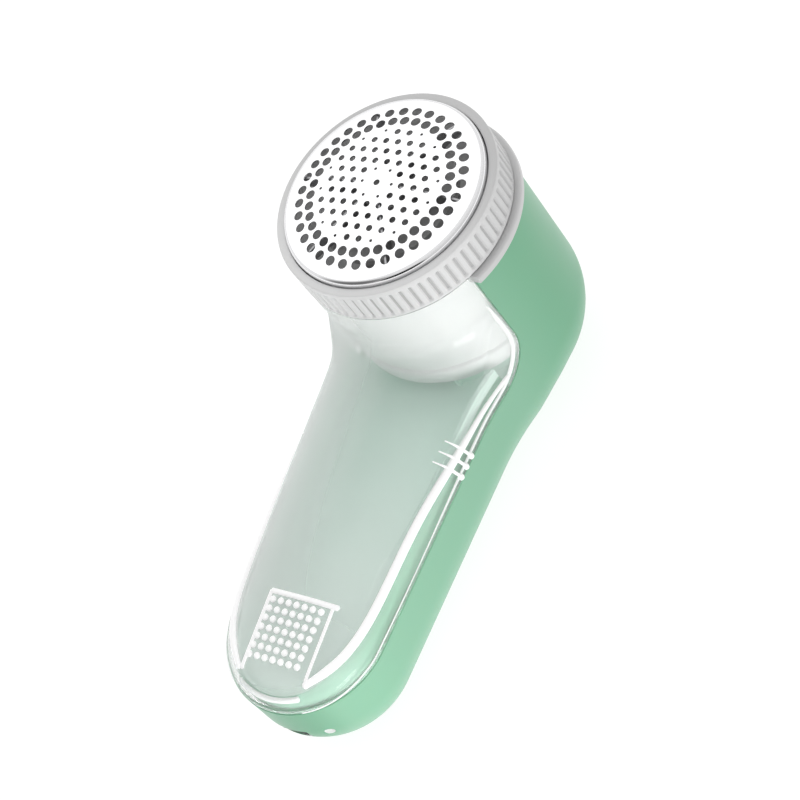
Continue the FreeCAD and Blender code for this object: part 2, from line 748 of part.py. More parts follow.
def knurled_ring():
    """The screw ring: a thin wall with a lip over the foil's flange, and grip grooves."""
    outer, floor = dim("ring_radius"), dim("ring_groove_radius")
    low, top = dim("ring_bottom"), dim("ring_top")
    knurl_low, knurl_top = dim("ring_knurl_bottom"), dim("ring_knurl_top")
    lip_low = dim("foil_flange_level") + dim("foil_thick") + 0.25
    body = turned("knurled_ring", [
        (dim("ring_inner"), low), (outer - 0.3, low), (outer, low + 0.3),
        (outer, knurl_low), (floor, knurl_low + 0.25), (floor, knurl_top - 0.25),
        (outer, knurl_top), (outer, top - 0.3), (outer - 0.35, top),
        (dim("ring_lip_inner") + 0.25, top), (dim("ring_lip_inner"), top - 0.25),
        (dim("ring_lip_inner"), lip_low), (dim("ring_inner"), lip_low)])
    sketch = sketch_in(body, "XY_Plane", "rib_sketch", knurl_low)
    half, inside = 1.0, floor - 0.3
    polygon(sketch, [(inside, -half), (outer - 0.15, -half), (outer - 0.02, -half + 0.2),
                     (outer - 0.02, half - 0.2), (outer - 0.15, half), (inside, half)])
    rib = pad_between(body, sketch, "grip_rib", knurl_top - knurl_low)
    pattern = body.newObject("PartDesign::PolarPattern", "grip_rib_pattern")
    pattern.Originals = [rib]
    pattern.Axis = (sketch, ["N_Axis"])
    pattern.Angle = 360.0
    pattern.Occurrences = KNURL_RIBS
    body.Tip = pattern
    return body


# ---------------------------------------------------------------- motor and cutter

def motor_can():
    low, top, outer = dim("motor_bottom") + 2, dim("motor_top"), dim("motor_radius")
    wall = dim("motor_can_wall")
    can = turned("can_cup", [
        (2.6, top - wall), (outer - wall, top - wall), (outer - wall, low), (outer, low),
        (outer, top - 0.8), (outer - 0.8, top), (2.6, top)])
    holes = [cylinder(f"can_screw_hole_{side}", dim("screw_radius") - 0.3, top - 3, top + 1, x=side * 8.0)
             for side in (-1, 1)]
    return cut("motor_can", can, *holes)


def motor_endcap():
    low = dim("motor_bottom")
    return turned("motor_endcap", [
        (2.6, low), (dim("motor_radius"), low), (dim("motor_radius"), low + 2),
        (10.6, low + 2), (10.6, low + 4), (9.4, low + 4), (9.4, low + 2), (2.6, low + 2)])


def motor_magnets():
    low, high = dim("motor_bottom") + 5, dim("motor_top") - 4
    ring = tube("magnet_ring", dim("motor_radius") - dim("motor_can_wall"), 8.6, low, high)
    gap = block("magnet_gap", (-20, HEAD_Y - 3.0, low - 1), (20, HEAD_Y + 3.0, high + 1))
    return cut("motor_magnets", ring, gap)


def motor_bushings():
    clearance = 0.03
    bore = dim("shaft_radius") + clearance
    rear = tube("rear_bushing", 2.6, bore, dim("motor_bottom"), dim("motor_bottom") + 2)
    front = tube("front_bushing", 2.6, bore, dim("motor_top") - dim("motor_can_wall"),
                 dim("motor_top") + 2.2)
    return group("motor_bushings", rear, front)


def motor_cushion():
    return tube("motor_cushion", 9.0, 4.0, dim("motor_bottom") - 4, dim("motor_bottom"))


def motor_screws():
    """Two screws driven down through the tower into the motor's front."""
    pieces = []
    for side in (-1, 1):
        name = f"motor_screw_{'left' if side < 0 else 'right'}"
        head = cylinder(name + "_head", 1.9, TOWER_TOP, TOWER_TOP + 1.2, x=side * 8.0)
        shank = cylinder(name + "_shank", dim("screw_radius") - 0.3,
                         dim("motor_top") - 1, TOWER_TOP, x=side * 8.0)
        slot = block(name + "_slot", (side * 8.0 - 1.3, HEAD_Y - 0.25, TOWER_TOP + 0.6),
                     (side * 8.0 + 1.3, HEAD_Y + 0.25, TOWER_TOP + 2))
        pieces.append(cut(name, fuse(name + "_blank", head, shank), slot))
    return group("motor_screws", *pieces)


def motor_shaft():
    return cylinder("motor_shaft", dim("shaft_radius"), dim("motor_bottom") + 0.2, 71.0)


def motor_armature():
    """Three-pole core: a hub and three wide shoes with wound necks."""
    low, high = dim("motor_bottom") + 8, dim("motor_top") - 6
    hub = tube("core_hub", 3.2, dim("shaft_radius"), low, high)
    shoes = tube("core_shoes", 8.1, 6.9, low, high)
    pieces = [hub]
    for index in range(3):
        gap = block(f"core_gap_{index}", (5.5, -1.0, 0), (10, 1.0, 30))
        turn(gap, (0, 0, 1), 60 + index * 120)
        angle = math.radians(60 + index * 120)
        place(gap, 5.5 * math.cos(angle) + math.sin(angle),
              HEAD_Y + 5.5 * math.sin(angle) - math.cos(angle), low - 1)
        shoes = cut(f"core_shoes_{index}", shoes, gap)
        neck = block(f"core_neck_{index}", (0, 0, 0), (5.4, 3.6, high - low))
        turn(neck, (0, 0, 1), index * 120)
        angle = math.radians(index * 120)
        place(neck, 2.0 * math.cos(angle) + 1.8 * math.sin(angle),
              HEAD_Y + 2.0 * math.sin(angle) - 1.8 * math.cos(angle), low)
        pieces.append(neck)
    core = fuse("core_solid", shoes, *pieces)
    return cut("motor_armature", core, cylinder("core_bore", dim("shaft_radius"), low - 1, high + 1))


def commutator():
    return tube("commutator", 2.4, dim("shaft_radius"), dim("motor_bottom") + 4.5, dim("motor_bottom") + 8)


def suction_fan():
    """A back plate with straight vanes that throws cut lint outwards."""
    low, shaft = 47.0, dim("shaft_radius")
    plate = tube("fan_plate", 18.0, shaft, low, low + 1.2)
    hub = tube("fan_hub", 3.5, shaft, low, low + 7)
    vanes = []
    for index in range(FAN_VANES):
        degrees = index * 360 / FAN_VANES
        angle = math.radians(degrees)
        vane = block(f"fan_vane_{index}", (0, 0, 0), (13.5, 0.9, 5.5))
        turn(vane, (0, 0, 1), degrees)
        place(vane, 3.2 * math.cos(angle) + 0.45 * math.sin(angle),
              HEAD_Y + 3.2 * math.sin(angle) - 0.45 * math.cos(angle), low + 0.8)
        vanes.append(vane)
    return fuse("suction_fan", plate, hub, *vanes)


def cutter_hub():
    shaft = dim("shaft_radius")
    return turned("cutter_hub", [
        (shaft, 62.0), (4.0, 62.0), (4.0, 69.5), (18.5, 70.6), (18.5, 72.4),
        (4.5, 72.4), (4.5, 73.2), (shaft, 73.2)])


def cutter_blades():
    """Steel blades on edge, ground to the foil's dome just under it."""
    radius = dim("foil_sphere") - dim("foil_thick") - dim("blade_gap")
    pieces = []
    for index in range(BLADES):
        name = f"blade_{index + 1}"
        ball = doc.addObject("Part::Sphere", name + "_edge")
        bind(ball, "Radius", radius)
        place(ball, 0, HEAD_Y, dim("foil_top") - dim("foil_sphere"))
        degrees = index * 360 / BLADES
        angle = math.radians(degrees)
        start, half = 5.0, dim("blade_thick") / 2
        bar = block(name + "_bar", (0, 0, 0), (dim("blade_radius") - start, dim("blade_thick"), 7))
        turn(bar, (0, 0, 1), degrees)
        place(bar, half * math.sin(angle) + start * math.cos(angle),
              HEAD_Y + start * math.sin(angle) - half * math.cos(angle), 72.4)
        pieces.append(common(name, bar, ball))
    return group("cutter_blades", *pieces)


def cutter_spring():
    """The coil that presses the cutter up against the foil, on the motor shaft."""
    coil_radius, wire_radius, low, high, pitch = 2.1, 0.3, 56.7, 61.4, 1.1
    path = Part.makeHelix(pitch, high - low, coil_radius)
    wire = Part.Wire([Part.makeCircle(wire_radius, FreeCAD.Vector(coil_radius, 0, 0),
                                      FreeCAD.Vector(0, 1, 0))])
    item = doc.addObject("Part::Feature", "cutter_spring")
    item.Shape = Part.Wire(path).makePipeShell([wire], True, True)
    return place(item, 0, HEAD_Y, low)


def shaft_collar():
    return tube("shaft_collar", 3.0, dim("shaft_radius"), 55.0, 56.4)


# ---------------------------------------------------------------- battery and electrics

CELL_START = -49.0


def battery_cell():
    """A round lithium cell lying along the handle, with its raised top contact."""
    level = dim("cell_axis_level")
    can = lying_cylinder("cell_can", dim("cell_radius"), dim("cell_length") - 1.2,
                         0, CELL_START, level, degrees=-90)
    button = lying_cylinder("cell_button", 2.6, 1.2, 0, CELL_START + dim("cell_length") - 1.2,
                            level, degrees=-90)
    return fuse("battery_cell", can, button)


def battery_holder():
    """A cradle round the lower part of the cell, with an end wall at each end."""
    low, level = 2.2, dim("cell_axis_level")
    length = dim("cell_length")
    base = block("holder_base", (-9, CELL_START - 2.2, low), (9, CELL_START + length + 2.2, level))
    bed = lying_cylinder("holder_bed", dim("cell_radius") + 0.1, length + 0.8,
                         0, CELL_START - 0.4, level, degrees=-90)
    corner = round_corner_tool("holder_corners", low)
    return cut("battery_holder", base, bed, corner)


def round_corner_tool(label, low):
    """Everything outside the housing's rounded cavity, to trim a cradle's lower corners."""
    limit = dim("back_round_handle") - dim("housing_wall") - 0.4
    axis_x = dim("handle_half_width") - dim("back_round_handle")
    outer = block(label + "_block", (-12, -60, low - 1), (12, 10, 9))
    keep = [lying_cylinder(f"{label}_keep_{side}", limit, 80, side * axis_x.number, -65,
                           dim("back_round_handle"), degrees=-90) for side in (-1, 1)]
    middle = block(label + "_middle", (-axis_x, -65, low - 2), (axis_x, 15, 12))
    return cut(label, outer, *keep, middle)


def battery_contacts():
    """Spring steel tabs at both ends of the cell."""
    level, length = dim("cell_axis_level"), dim("cell_length")
    thick = 0.3
    front = block("contact_front", (-4, CELL_START - 0.4, level - 4), (4, CELL_START - 0.4 + thick, level + 8.4))
    back = block("contact_back", (-4, CELL_START + length + 0.4 - thick, level - 4),
                 (4, CELL_START + length + 0.4, level + 8.4))
    return group("battery_contacts", front, back)


def circuit_board():
    low = dim("port_level") - dim("board_thick")
    board = block("board_plate", (-10.5, -71.6, low), (10.5, -52.2, low + dim("board_thick")))
    pieces = [board]
    chips = (("charger_chip", -2.4, -61.0, 5.0, 4.0, 1.5), ("power_chip", -8.6, -58.0, 3.0, 3.0, 1.2),
             ("coil_chip", 4.4, -60.0, 4.2, 4.2, 2.2), ("light_chip", 8.2, -66.8, 1.8, 1.8, 1.0))
    top = low + dim("board_thick")
    for name, x, y, length, width, height in chips:
        pieces.append(block(name, (x, y, top - 0.1), (x + length, y + width, top + height)))
    solid = fuse("board_solid", *pieces)
    bites = [cylinder(f"board_bite_{index}", 3.8, low - 1, top + 5, x, y)
             for index, (x, y) in enumerate(HOUSING_SCREWS[:2], start=1)]
    corner = cylinder("board_round", 19.2, low - 2, top + 6, 0, END_Y)
    return cut("circuit_board", common("board_trimmed", solid, corner), *bites)


def usb_socket():
    """The charging socket's metal shell, open at the handle's end, with its tongue."""
    half, low, high = dim("port_width") / 2, dim("port_level"), dim("port_level") + dim("port_height")
    front, back = -74.2, -66.9
    wall = 0.3
    shell = cut("socket_shell", block("socket_block", (-half, front, low), (half, back, high)),
                block("socket_hollow", (-half + wall, front - 1, low + wall),
                      (half - wall, back - wall, high - wall)))
    tongue = block("socket_tongue", (-3.3, front + 1.2, low + 1.25), (3.3, back - 0.1, high - 1.25))
    return fuse("usb_socket", shell, tongue)


def charge_light():
    """A short clear light guide from the board's lamp to the handle's end."""
    guide = lying_cylinder("light_guide", 1.25, 6.4, 10.5, -67.0, 14.4)
    outline = plan_prism("light_outline", 0.15, 8, 20)
    return common("charge_light", guide, outline)


def slide_switch():
    """The switch's can, with the slot that the slider's stem reaches through."""
    centre = dim("switch_centre")
    low, high = 3.6, 9.0
    body = block("switch_can", (-4.5, centre - 9, low), (4.5, centre + 9, high))
    slot = block("switch_can_slot", (-1.8, centre - 5.2, low - 1), (1.8, centre + 5.2, low + 2.9))
    pins = [block(f"switch_pin_{index}", (-0.3, centre - 4.6 + index * 4.3, high - 0.1),
                  (0.3, centre - 4.0 + index * 4.3, high + 2.4)) for index in range(3)]
    return cut("slide_switch", fuse("switch_solid", body, *pins), slot)


def switch_slider():
    """The thumb cap in the dish on the back, with ridges and a stem into the switch."""
    centre = dim("switch_centre") - dim("switch_travel") / 2
    cap = block("slider_cap", (-4.6, centre - 5, 0.7), (4.6, centre + 5, 1.5))
    stem = block("slider_stem", (-1.5, centre - 2.2, 1.4), (1.5, centre + 2.2, 5.6))
    ridges = [block(f"slider_ridge_{index}", (-3.8, centre - 3.6 + index * 1.6, 0.3),
                    (3.8, centre - 2.8 + index * 1.6, 0.8)) for index in range(5)]
    return fuse("switch_slider", cap, stem, *ridges)


def housing_screws():
    return group("housing_screws", *[
        screw(f"housing_screw_{index}", x, y, SCREW_HEAD_TOP - 1.4, 15.5)
        for index, (x, y) in enumerate(HOUSING_SCREWS, start=1)])


def chamber_screws():
    return group("chamber_screws", *[
        screw(f"chamber_screw_{index}", x, y, DECK_BOTTOM - 1.4, DECK_TOP + 4.0)
        for index, (x, y) in enumerate(chamber_screw_places(), start=1)])


def shaft_seal():
    """A felt washer on the tower, which keeps lint out of the motor."""
    return tube("shaft_seal", 5.4, 2.75, TOWER_TOP, TOWER_TOP + 1.0)


def wire(label, radius, points):
    """An insulated wire: straight runs with a rounded bend at each inner point."""
    vectors = [FreeCAD.Vector(*point) for point in points]
    edges, start = [], vectors[0]
    for before, corner, after in zip(vectors, vectors[1:], vectors[2:]):
        inward, outward = (corner - before).normalize(), (after - corner).normalize()
        turn_by = inward.getAngle(outward)
        shorter = min((corner - before).Length, (after - corner).Length)
        setback = 0.45 * shorter
        bend = setback / math.tan(turn_by / 2)
        first, last = corner - inward * setback, corner + outward * setback
        bisector = (outward - inward).normalize()
        middle = corner + bisector * (bend / math.cos(turn_by / 2) - bend)
        edges += [Part.LineSegment(start, first).toShape(), Part.Arc(first, middle, last).toShape()]
        start = last
    edges.append(Part.LineSegment(start, vectors[-1]).toShape())
    path = Part.Wire(edges)
    ring = Part.Wire([Part.makeCircle(radius, vectors[0], vectors[1] - vectors[0])])
    item = doc.addObject("Part::Feature", label)
    item.Shape = path.makePipeShell([ring], True, False)
    return item


def battery_leads():
    """Two wires from the cell's contacts to the board."""
    red = wire("battery_lead_red", 0.55, [(2.5, -47.6, 20.6), (2.5, -53.0, 20.2), (3.0, -56.0, 16.0),
                                           (3.2, -56.4, 11.7)])
    black = wire("battery_lead_black", 0.55, [(-2.5, 0.0, 20.9), (-8.0, -6.0, 20.6), (-9.4, -20.0, 19.6),
                                               (-9.2, -36.0, 19.2), (-7.4, -49.0, 18.4),
                                               (-6.4, -53.0, 14.6), (-6.4, -53.6, 11.7)])
    return group("battery_leads", red, black)


def motor_leads():
    """Two wires from the switch and the board's side up to the motor's end cap."""
    first = wire("motor_lead_red", 0.55, [(0.0, 18.3, 11.8), (1.0, 22.0, 15.0), (3.0, 27.0, 15.4),
                                           (4.5, 31.1, 14.4)])
    second = wire("motor_lead_black", 0.55, [(0.0, 10.0, 11.8), (-3.0, 15.0, 16.0),
                                              (-6.5, 24.0, 17.0), (-7.0, 31.4, 14.4)])
    return group("motor_leads", first, second)


# ---------------------------------------------------------------- make, check and write

PIECES = [
    rear_housing, front_deck, lint_duct, cutter_chamber, head_collar, lint_bin, tray_rim,
    foil_screen, knurled_ring,
    motor_can, motor_endcap, motor_magnets, motor_bushings, motor_cushion, motor_screws,
    motor_shaft, motor_armature, commutator, suction_fan, cutter_hub, cutter_blades,
    cutter_spring, shaft_collar, battery_cell, battery_holder, battery_contacts, circuit_board,
    usb_socket, charge_light, slide_switch, switch_slider, housing_screws, chamber_screws,
    shaft_seal, battery_leads, motor_leads,
]


def check_document():
    for item in doc.Objects:
        if "Invalid" in item.State or "Error" in item.State:
            raise RuntimeError(f"{item.Label} did not compute: {item.State}")


def write_pieces(pieces):
    os.makedirs("parts", exist_ok=True)
    for label, item in pieces.items():
        shape = item.Shape
        if shape.isNull() or not shape.isValid() or shape.Volume <= 0:
            raise RuntimeError(f"{label} has no valid solid")
        box = shape.BoundBox
        print(f"{label:18s} {len(shape.Solids):3d} solids {shape.Volume:10.1f} mm3  "
              f"x {box.XMin:7.2f} {box.XMax:7.2f}  y {box.YMin:7.2f} {box.YMax:7.2f}  "
              f"z {box.ZMin:7.2f} {box.ZMax:7.2f}")
        shape.exportStep(f"parts/{label}.step")


made = {}
for make in PIECES:
    piece = make()
    piece.Label = make.__name__
    made[make.__name__] = piece
    doc.recompute()
check_document()
write_pieces(made)
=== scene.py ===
import math

import bmesh
import bpy
import numpy as np
from mathutils import Matrix, Vector
from mathutils.geometry import delaunay_2d_cdt


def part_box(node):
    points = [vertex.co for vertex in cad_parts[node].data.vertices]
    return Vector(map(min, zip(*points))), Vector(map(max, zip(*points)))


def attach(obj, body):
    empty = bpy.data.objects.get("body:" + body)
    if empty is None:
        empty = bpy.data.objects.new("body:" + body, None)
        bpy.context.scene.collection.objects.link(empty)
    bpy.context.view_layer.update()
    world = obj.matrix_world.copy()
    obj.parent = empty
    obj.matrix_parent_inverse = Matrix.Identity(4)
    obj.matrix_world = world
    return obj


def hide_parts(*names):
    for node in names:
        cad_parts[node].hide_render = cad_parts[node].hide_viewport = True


# A rechargeable fabric shaver lying on its flat back. Lengths in this script are in
# millimetres in the CAD's frame, +Z out of the foil and +Y towards the head, and they
# become metres when a mesh is made.

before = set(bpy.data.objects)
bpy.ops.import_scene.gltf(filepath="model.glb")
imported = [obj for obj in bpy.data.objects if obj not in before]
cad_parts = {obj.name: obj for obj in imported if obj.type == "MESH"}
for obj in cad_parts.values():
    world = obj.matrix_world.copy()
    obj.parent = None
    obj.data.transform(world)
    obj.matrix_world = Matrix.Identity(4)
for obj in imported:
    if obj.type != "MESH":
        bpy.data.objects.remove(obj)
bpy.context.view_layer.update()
MM = 0.001


def node_box(name):
    """A CAD node's lowest and highest corners, in millimetres."""
    low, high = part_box(name)
    return np.array(low) / MM, np.array(high) / MM


COLLAR_LOW, COLLAR_HIGH = node_box("head_collar")
RING_LOW, RING_HIGH = node_box("knurled_ring")
FOIL_LOW, FOIL_HIGH = node_box("foil_screen")

# ---- sizes, as in the CAD

TOTAL_LENGTH = COLLAR_HIGH[1] - node_box("rear_housing")[0][1]
COLLAR_R = COLLAR_HIGH[0]
HEAD_Y = (RING_LOW[1] + RING_HIGH[1]) / 2
HEAD_R = 29.5
HANDLE_HALF = 22.6
NECK_R = 70.0
END_Y = HANDLE_HALF - TOTAL_LENGTH / 2
WALL = 2.0
HOUSING_TOP = COLLAR_LOW[2]
BACK_ROUND_HANDLE, BACK_ROUND_HEAD = 15.5, 22.0
BACK_ROUND_GROWS = (24.0, 42.0)
SEAM_Y, SEAM_Z, SEAM_CORNER, SEAM_GAP = 30.9, 25.5, 12.0, 0.3
BIN_WALL = 1.6
BIN_EDGE_ROUND, BIN_COLUMN_ROUND, BIN_ROUND_GROWS = 6.5, 0.4, 7.0
BIN_SLOPE = math.radians(6.95)
BIN_END_LEVEL = 31.23
SKIRT_FILLET = 9.0
CHAMBER_R = node_box("cutter_chamber")[1][0]
COLUMN_TOP = RING_LOW[2] - 0.2
BIN_CROWN = 120.0
RIM_GAP, RIM_THICK, RIM_TOP, RIM_UNDER_FRONT = 0.45, 1.0, 33.0, 3.2


# ---- signed distances

def ease(low, high, value):
    """0 below low, 1 above high, and a smooth step between."""
    share = np.clip((value - low) / (high - low), 0, 1)
    return share * share * (3 - 2 * share)


def plan_distance(x, y):
    """How far a point is outside the plan outline: head arc, neck arcs, sides, end arc."""
    across = np.abs(x)
    reach = HANDLE_HALF + NECK_R
    drop = math.sqrt((HEAD_R + NECK_R) ** 2 - reach ** 2)
    handle = np.where(y < END_Y, np.hypot(across, y - END_Y), across) - HANDLE_HALF
    head = np.hypot(across, y - HEAD_Y) - HEAD_R
    from_x, from_y = across - reach, y - (HEAD_Y - drop)
    neck = NECK_R - np.hypot(from_x, from_y)
    turn = np.arctan2(from_y, -from_x)
    joined = np.where(turn < 0, handle, np.where(turn > math.atan2(drop, reach), head, neck))
    return np.where(y > HEAD_Y, head, joined)


def round_both(first, second, radius):
    """The space inside both distances, with the edge between them rounded."""
    a, b = first + radius, second + radius
    return np.minimum(np.maximum(a, b), 0) + np.hypot(np.maximum(a, 0), np.maximum(b, 0)) - radius


def round_either(first, second, radius):
    """The space inside either distance, with the corner between them filled round."""
    a, b = np.maximum(radius - first, 0), np.maximum(radius - second, 0)
    return np.maximum(radius, np.minimum(first, second)) - np.hypot(a, b)


def housing_distance(x, y, z):
    """How far a point is outside the housing, whose flat back has a wider round at the head."""
    radius = BACK_ROUND_HANDLE + (BACK_ROUND_HEAD - BACK_ROUND_HANDLE) * ease(*BACK_ROUND_GROWS, y)
    return round_both(plan_distance(x, y), -z, radius)


def bin_front(y):
    """The level of the bin's sloping front face."""
    return BIN_END_LEVEL + (y + TOTAL_LENGTH / 2) * math.tan(BIN_SLOPE)


def bin_distance(x, y, z):
    """How far a point is outside the bin: the plan, cut by a crowned slope or by the column."""
    front = (z - bin_front(y) + x ** 2 / (2 * BIN_CROWN)) * math.cos(BIN_SLOPE)
    column = np.hypot(x, y - HEAD_Y) - HEAD_R
    radius = BIN_COLUMN_ROUND + (BIN_EDGE_ROUND - BIN_COLUMN_ROUND) * ease(0, BIN_ROUND_GROWS, column)
    return round_both(round_either(front, column, SKIRT_FILLET), plan_distance(x, y), radius)


def seam_distance(y, z, gap):
    """Above 0 on the rear housing's side of the seam, and below 0 on the bin's side."""
    return round_both(y - (SEAM_Y - gap), (SEAM_Z + gap) - z, SEAM_CORNER)


# ---- mesh making

def mesh_object(name, points, faces, smooth=True):
    """A mesh from points in millimetres."""
    mesh = bpy.data.meshes.new(name)
    mesh.from_pydata([tuple(p) for p in np.asarray(points, float) * MM], [], [tuple(f) for f in faces])
    mesh.validate()
    mesh.update()
    item = bpy.data.objects.new(name, mesh)
    bpy.context.scene.collection.objects.link(item)
    if smooth:
        for polygon in mesh.polygons:
            polygon.use_smooth = True
    return item


def surface_net(field, low, high, step):
    """Points and quads of the surface where field is 0, one point to a crossed cell."""
    axes = [np.arange(a, b + step, step) for a, b in zip(low, high)]
    values = field(*np.meshgrid(*axes, indexing="ij"))
    inside = values < 0
    cells = np.zeros([n - 1 for n in inside.shape], int)
    for corner in np.ndindex(2, 2, 2):
        cells += inside[tuple(slice(c, n - 1 + c) for c, n in zip(corner, inside.shape))]
    crossed = (cells > 0) & (cells < 8)
    number = -np.ones(cells.shape, int)
    number[crossed] = np.arange(crossed.sum())
    where = np.argwhere(crossed)
    points = np.array(low) + (where + 0.5) * step
    faces = []
    for axis in range(3):
        others = [a for a in range(3) if a != axis]
        first = [slice(None)] * 3
        second = [slice(None)] * 3
        first[axis], second[axis] = slice(0, -1), slice(1, None)
        change = inside[tuple(first)] != inside[tuple(second)]
        spots = np.argwhere(change)
        keep = np.all([(spots[:, a] > 0) & (spots[:, a] < inside.shape[a] - 1) for a in others], axis=0)
        spots = spots[keep]
        corners = []
        for back_u, back_v in ((1, 1), (0, 1), (0, 0), (1, 0)):
            cell = spots.copy()
            cell[:, others[0]] -= back_u
            cell[:, others[1]] -= back_v
            corners.append(number[tuple(cell.T)])
        quads = np.stack(corners, axis=1)
        rising = inside[tuple(spots.T)] == (axis != 1)
        quads[~rising] = quads[~rising][:, ::-1]
        faces.append(quads)
    return points, np.concatenate(faces)


def gradient(field, points, reach=1e-3):
    """The field's slope along each axis, at each point."""
    slopes = []
    for axis in range(3):
        shift = np.zeros(3)
        shift[axis] = reach
        slopes.append((field(*(points + shift).T) - field(*(points - shift).T)) / (2 * reach))
    return np.stack(slopes, axis=1)


def settle(field, points, rounds=8):
    """Move points onto the surface where field is 0."""
    for _ in range(rounds):
        slope = gradient(field, points)
        size = np.maximum((slope ** 2).sum(1), 0.05)
        points = points - slope * (field(*points.T) / size)[:, None]
    return points


def relax(points, faces, field, rounds=4):
    """Even out a surface net's points along its surface."""
    ends = np.concatenate([faces[:, [0, 1]], faces[:, [1, 2]], faces[:, [2, 3]], faces[:, [3, 0]]])
    for _ in range(rounds):
        total, count = np.zeros_like(points), np.zeros(len(points))
        for a, b in ((0, 1), (1, 0)):
            np.add.at(total, ends[:, a], points[ends[:, b]])
            np.add.at(count, ends[:, a], 1)
        points = points + 0.5 * (total / np.maximum(count, 1)[:, None] - points)
        points = settle(field, points, 3)
    return points


SNAP = 0.02


def keep_where(item, level):
    """Cut the mesh along the line where level(points) is 0, and keep the part below it."""
    work = bmesh.new()
    work.from_mesh(item.data)
    values = {}
    spots = np.array([v.co for v in work.verts]) / MM
    for vertex, value in zip(work.verts, level(spots)):
        values[vertex] = 0.0 if abs(value) < SNAP else float(value)
    for edge in [e for e in work.edges if values[e.verts[0]] * values[e.verts[1]] < 0]:
        start, end = edge.verts
        share = values[start] / (values[start] - values[end])
        _, middle = bmesh.utils.edge_split(edge, start, share)
        values[middle] = 0.0
    for face in list(work.faces):
        on_line = [v for v in face.verts if values[v] == 0.0]
        signs = {np.sign(values[v]) for v in face.verts} - {0.0}
        if len(signs) == 2 and len(on_line) == 2:
            bmesh.utils.face_split(face, *on_line)
    doomed = [f for f in work.faces if sum(values[v] for v in f.verts) > 0]
    bmesh.ops.delete(work, geom=doomed, context="FACES")
    work.to_mesh(item.data)
    work.free()
    item.data.update()
    return item


def shell_of(name, field, low, high, step, cuts, wall):
    """A thin-walled shell: the surface where field is 0, cut open, with an even wall inside."""
    points, faces = surface_net(field, low, high, step)
    points = settle(field, points)
    points = relax(points, faces, field)
    item = mesh_object(name, points, faces)
    for level in cuts:
        keep_where(item, level)
    return thicken(item, wall, quality=True)


def thicken(item, wall, quality=False):
    """An even wall behind an open skin."""
    thick = item.modifiers.new("wall", "SOLIDIFY")
    thick.thickness = wall * MM
    thick.offset = -1
    thick.use_even_offset = True
    thick.use_quality_normals = quality
    return item


def soften(item, width=0.25, segments=2, angle=40):
    """A small round on sharp edges, and shading that follows it."""
    bevel = item.modifiers.new("edge", "BEVEL")
    bevel.width = width * MM
    bevel.segments = segments
    bevel.limit_method = "ANGLE"
    bevel.angle_limit = math.radians(angle)
    return item


def lathe(name, profile, segments=240, x=0.0, y=HEAD_Y, start=0.0, sweep=360.0):
    """A ring turned about an upright axis from a closed outline of (radius, level) points."""
    whole = sweep >= 360.0
    columns = segments if whole else segments + 1
    angles = np.radians(start + sweep * np.arange(columns) / segments)
    rows = np.array(profile, float)
    points = np.concatenate([
        np.stack([x + rows[:, 0] * math.cos(a), y + rows[:, 0] * math.sin(a), rows[:, 1]], axis=1)
        for a in angles])
    count = len(rows)
    faces = []
    for column in range(segments):
        following = (column + 1) % columns
        for row in range(count):
            other = (row + 1) % count
            faces.append((column * count + row, following * count + row,
                          following * count + other, column * count + other))
    if not whole:
        faces.append(tuple(range(count))[::-1])
        faces.append(tuple((columns - 1) * count + row for row in range(count)))
    item = mesh_object(name, points, faces)
    outward(item)
    return item


def outward(item, gap=1e-7, upward=False):
    """Join points that meet, and turn every face outwards, or an open sheet's faces upward."""
    work = bmesh.new()
    work.from_mesh(item.data)
    bmesh.ops.remove_doubles(work, verts=work.verts, dist=gap)
    bmesh.ops.recalc_face_normals(work, faces=work.faces)
    if upward and sum(f.normal.z * f.calc_area() for f in work.faces) < 0:
        bmesh.ops.reverse_faces(work, faces=work.faces)
    work.to_mesh(item.data)
    work.free()
    item.data.update()


def rounded(corners, radii, steps=5):
    """A closed outline with each corner rounded by its own radius."""
    points = [np.array(c, float) for c in corners]
    count, result = len(points), []
    radii = [radii] * count if np.isscalar(radii) else radii
    for index, radius in enumerate(radii):
        before, corner, after = points[index - 1], points[index], points[(index + 1) % count]
        if radius <= 0:
            result.append(tuple(corner))
            continue
        inward, onward = before - corner, after - corner
        inward, onward = inward / np.linalg.norm(inward), onward / np.linalg.norm(onward)
        half = math.acos(np.clip(inward @ onward, -1, 1)) / 2
        centre = corner + (inward + onward) / np.linalg.norm(inward + onward) * radius / math.sin(half)
        first = corner + inward * radius / math.tan(half) - centre
        last = corner + onward * radius / math.tan(half) - centre
        for share in np.linspace(0, 1, steps + 1):
            spoke = first * (1 - share) + last * share
            result.append(tuple(centre + spoke / np.linalg.norm(spoke) * radius))
    return result


def circle_points(x, y, radius, sides):
    """Evenly spaced points of a circle, as (x, y)."""
    return [(x + radius * math.cos(a), y + radius * math.sin(a))
            for a in 2 * math.pi * np.arange(sides) / sides]


def band(first, second, count):
    """Quads between two closed rows of count points, which start at first and at second."""
    return [(first + i, first + (i + 1) % count, second + (i + 1) % count, second + i)
            for i in range(count)]


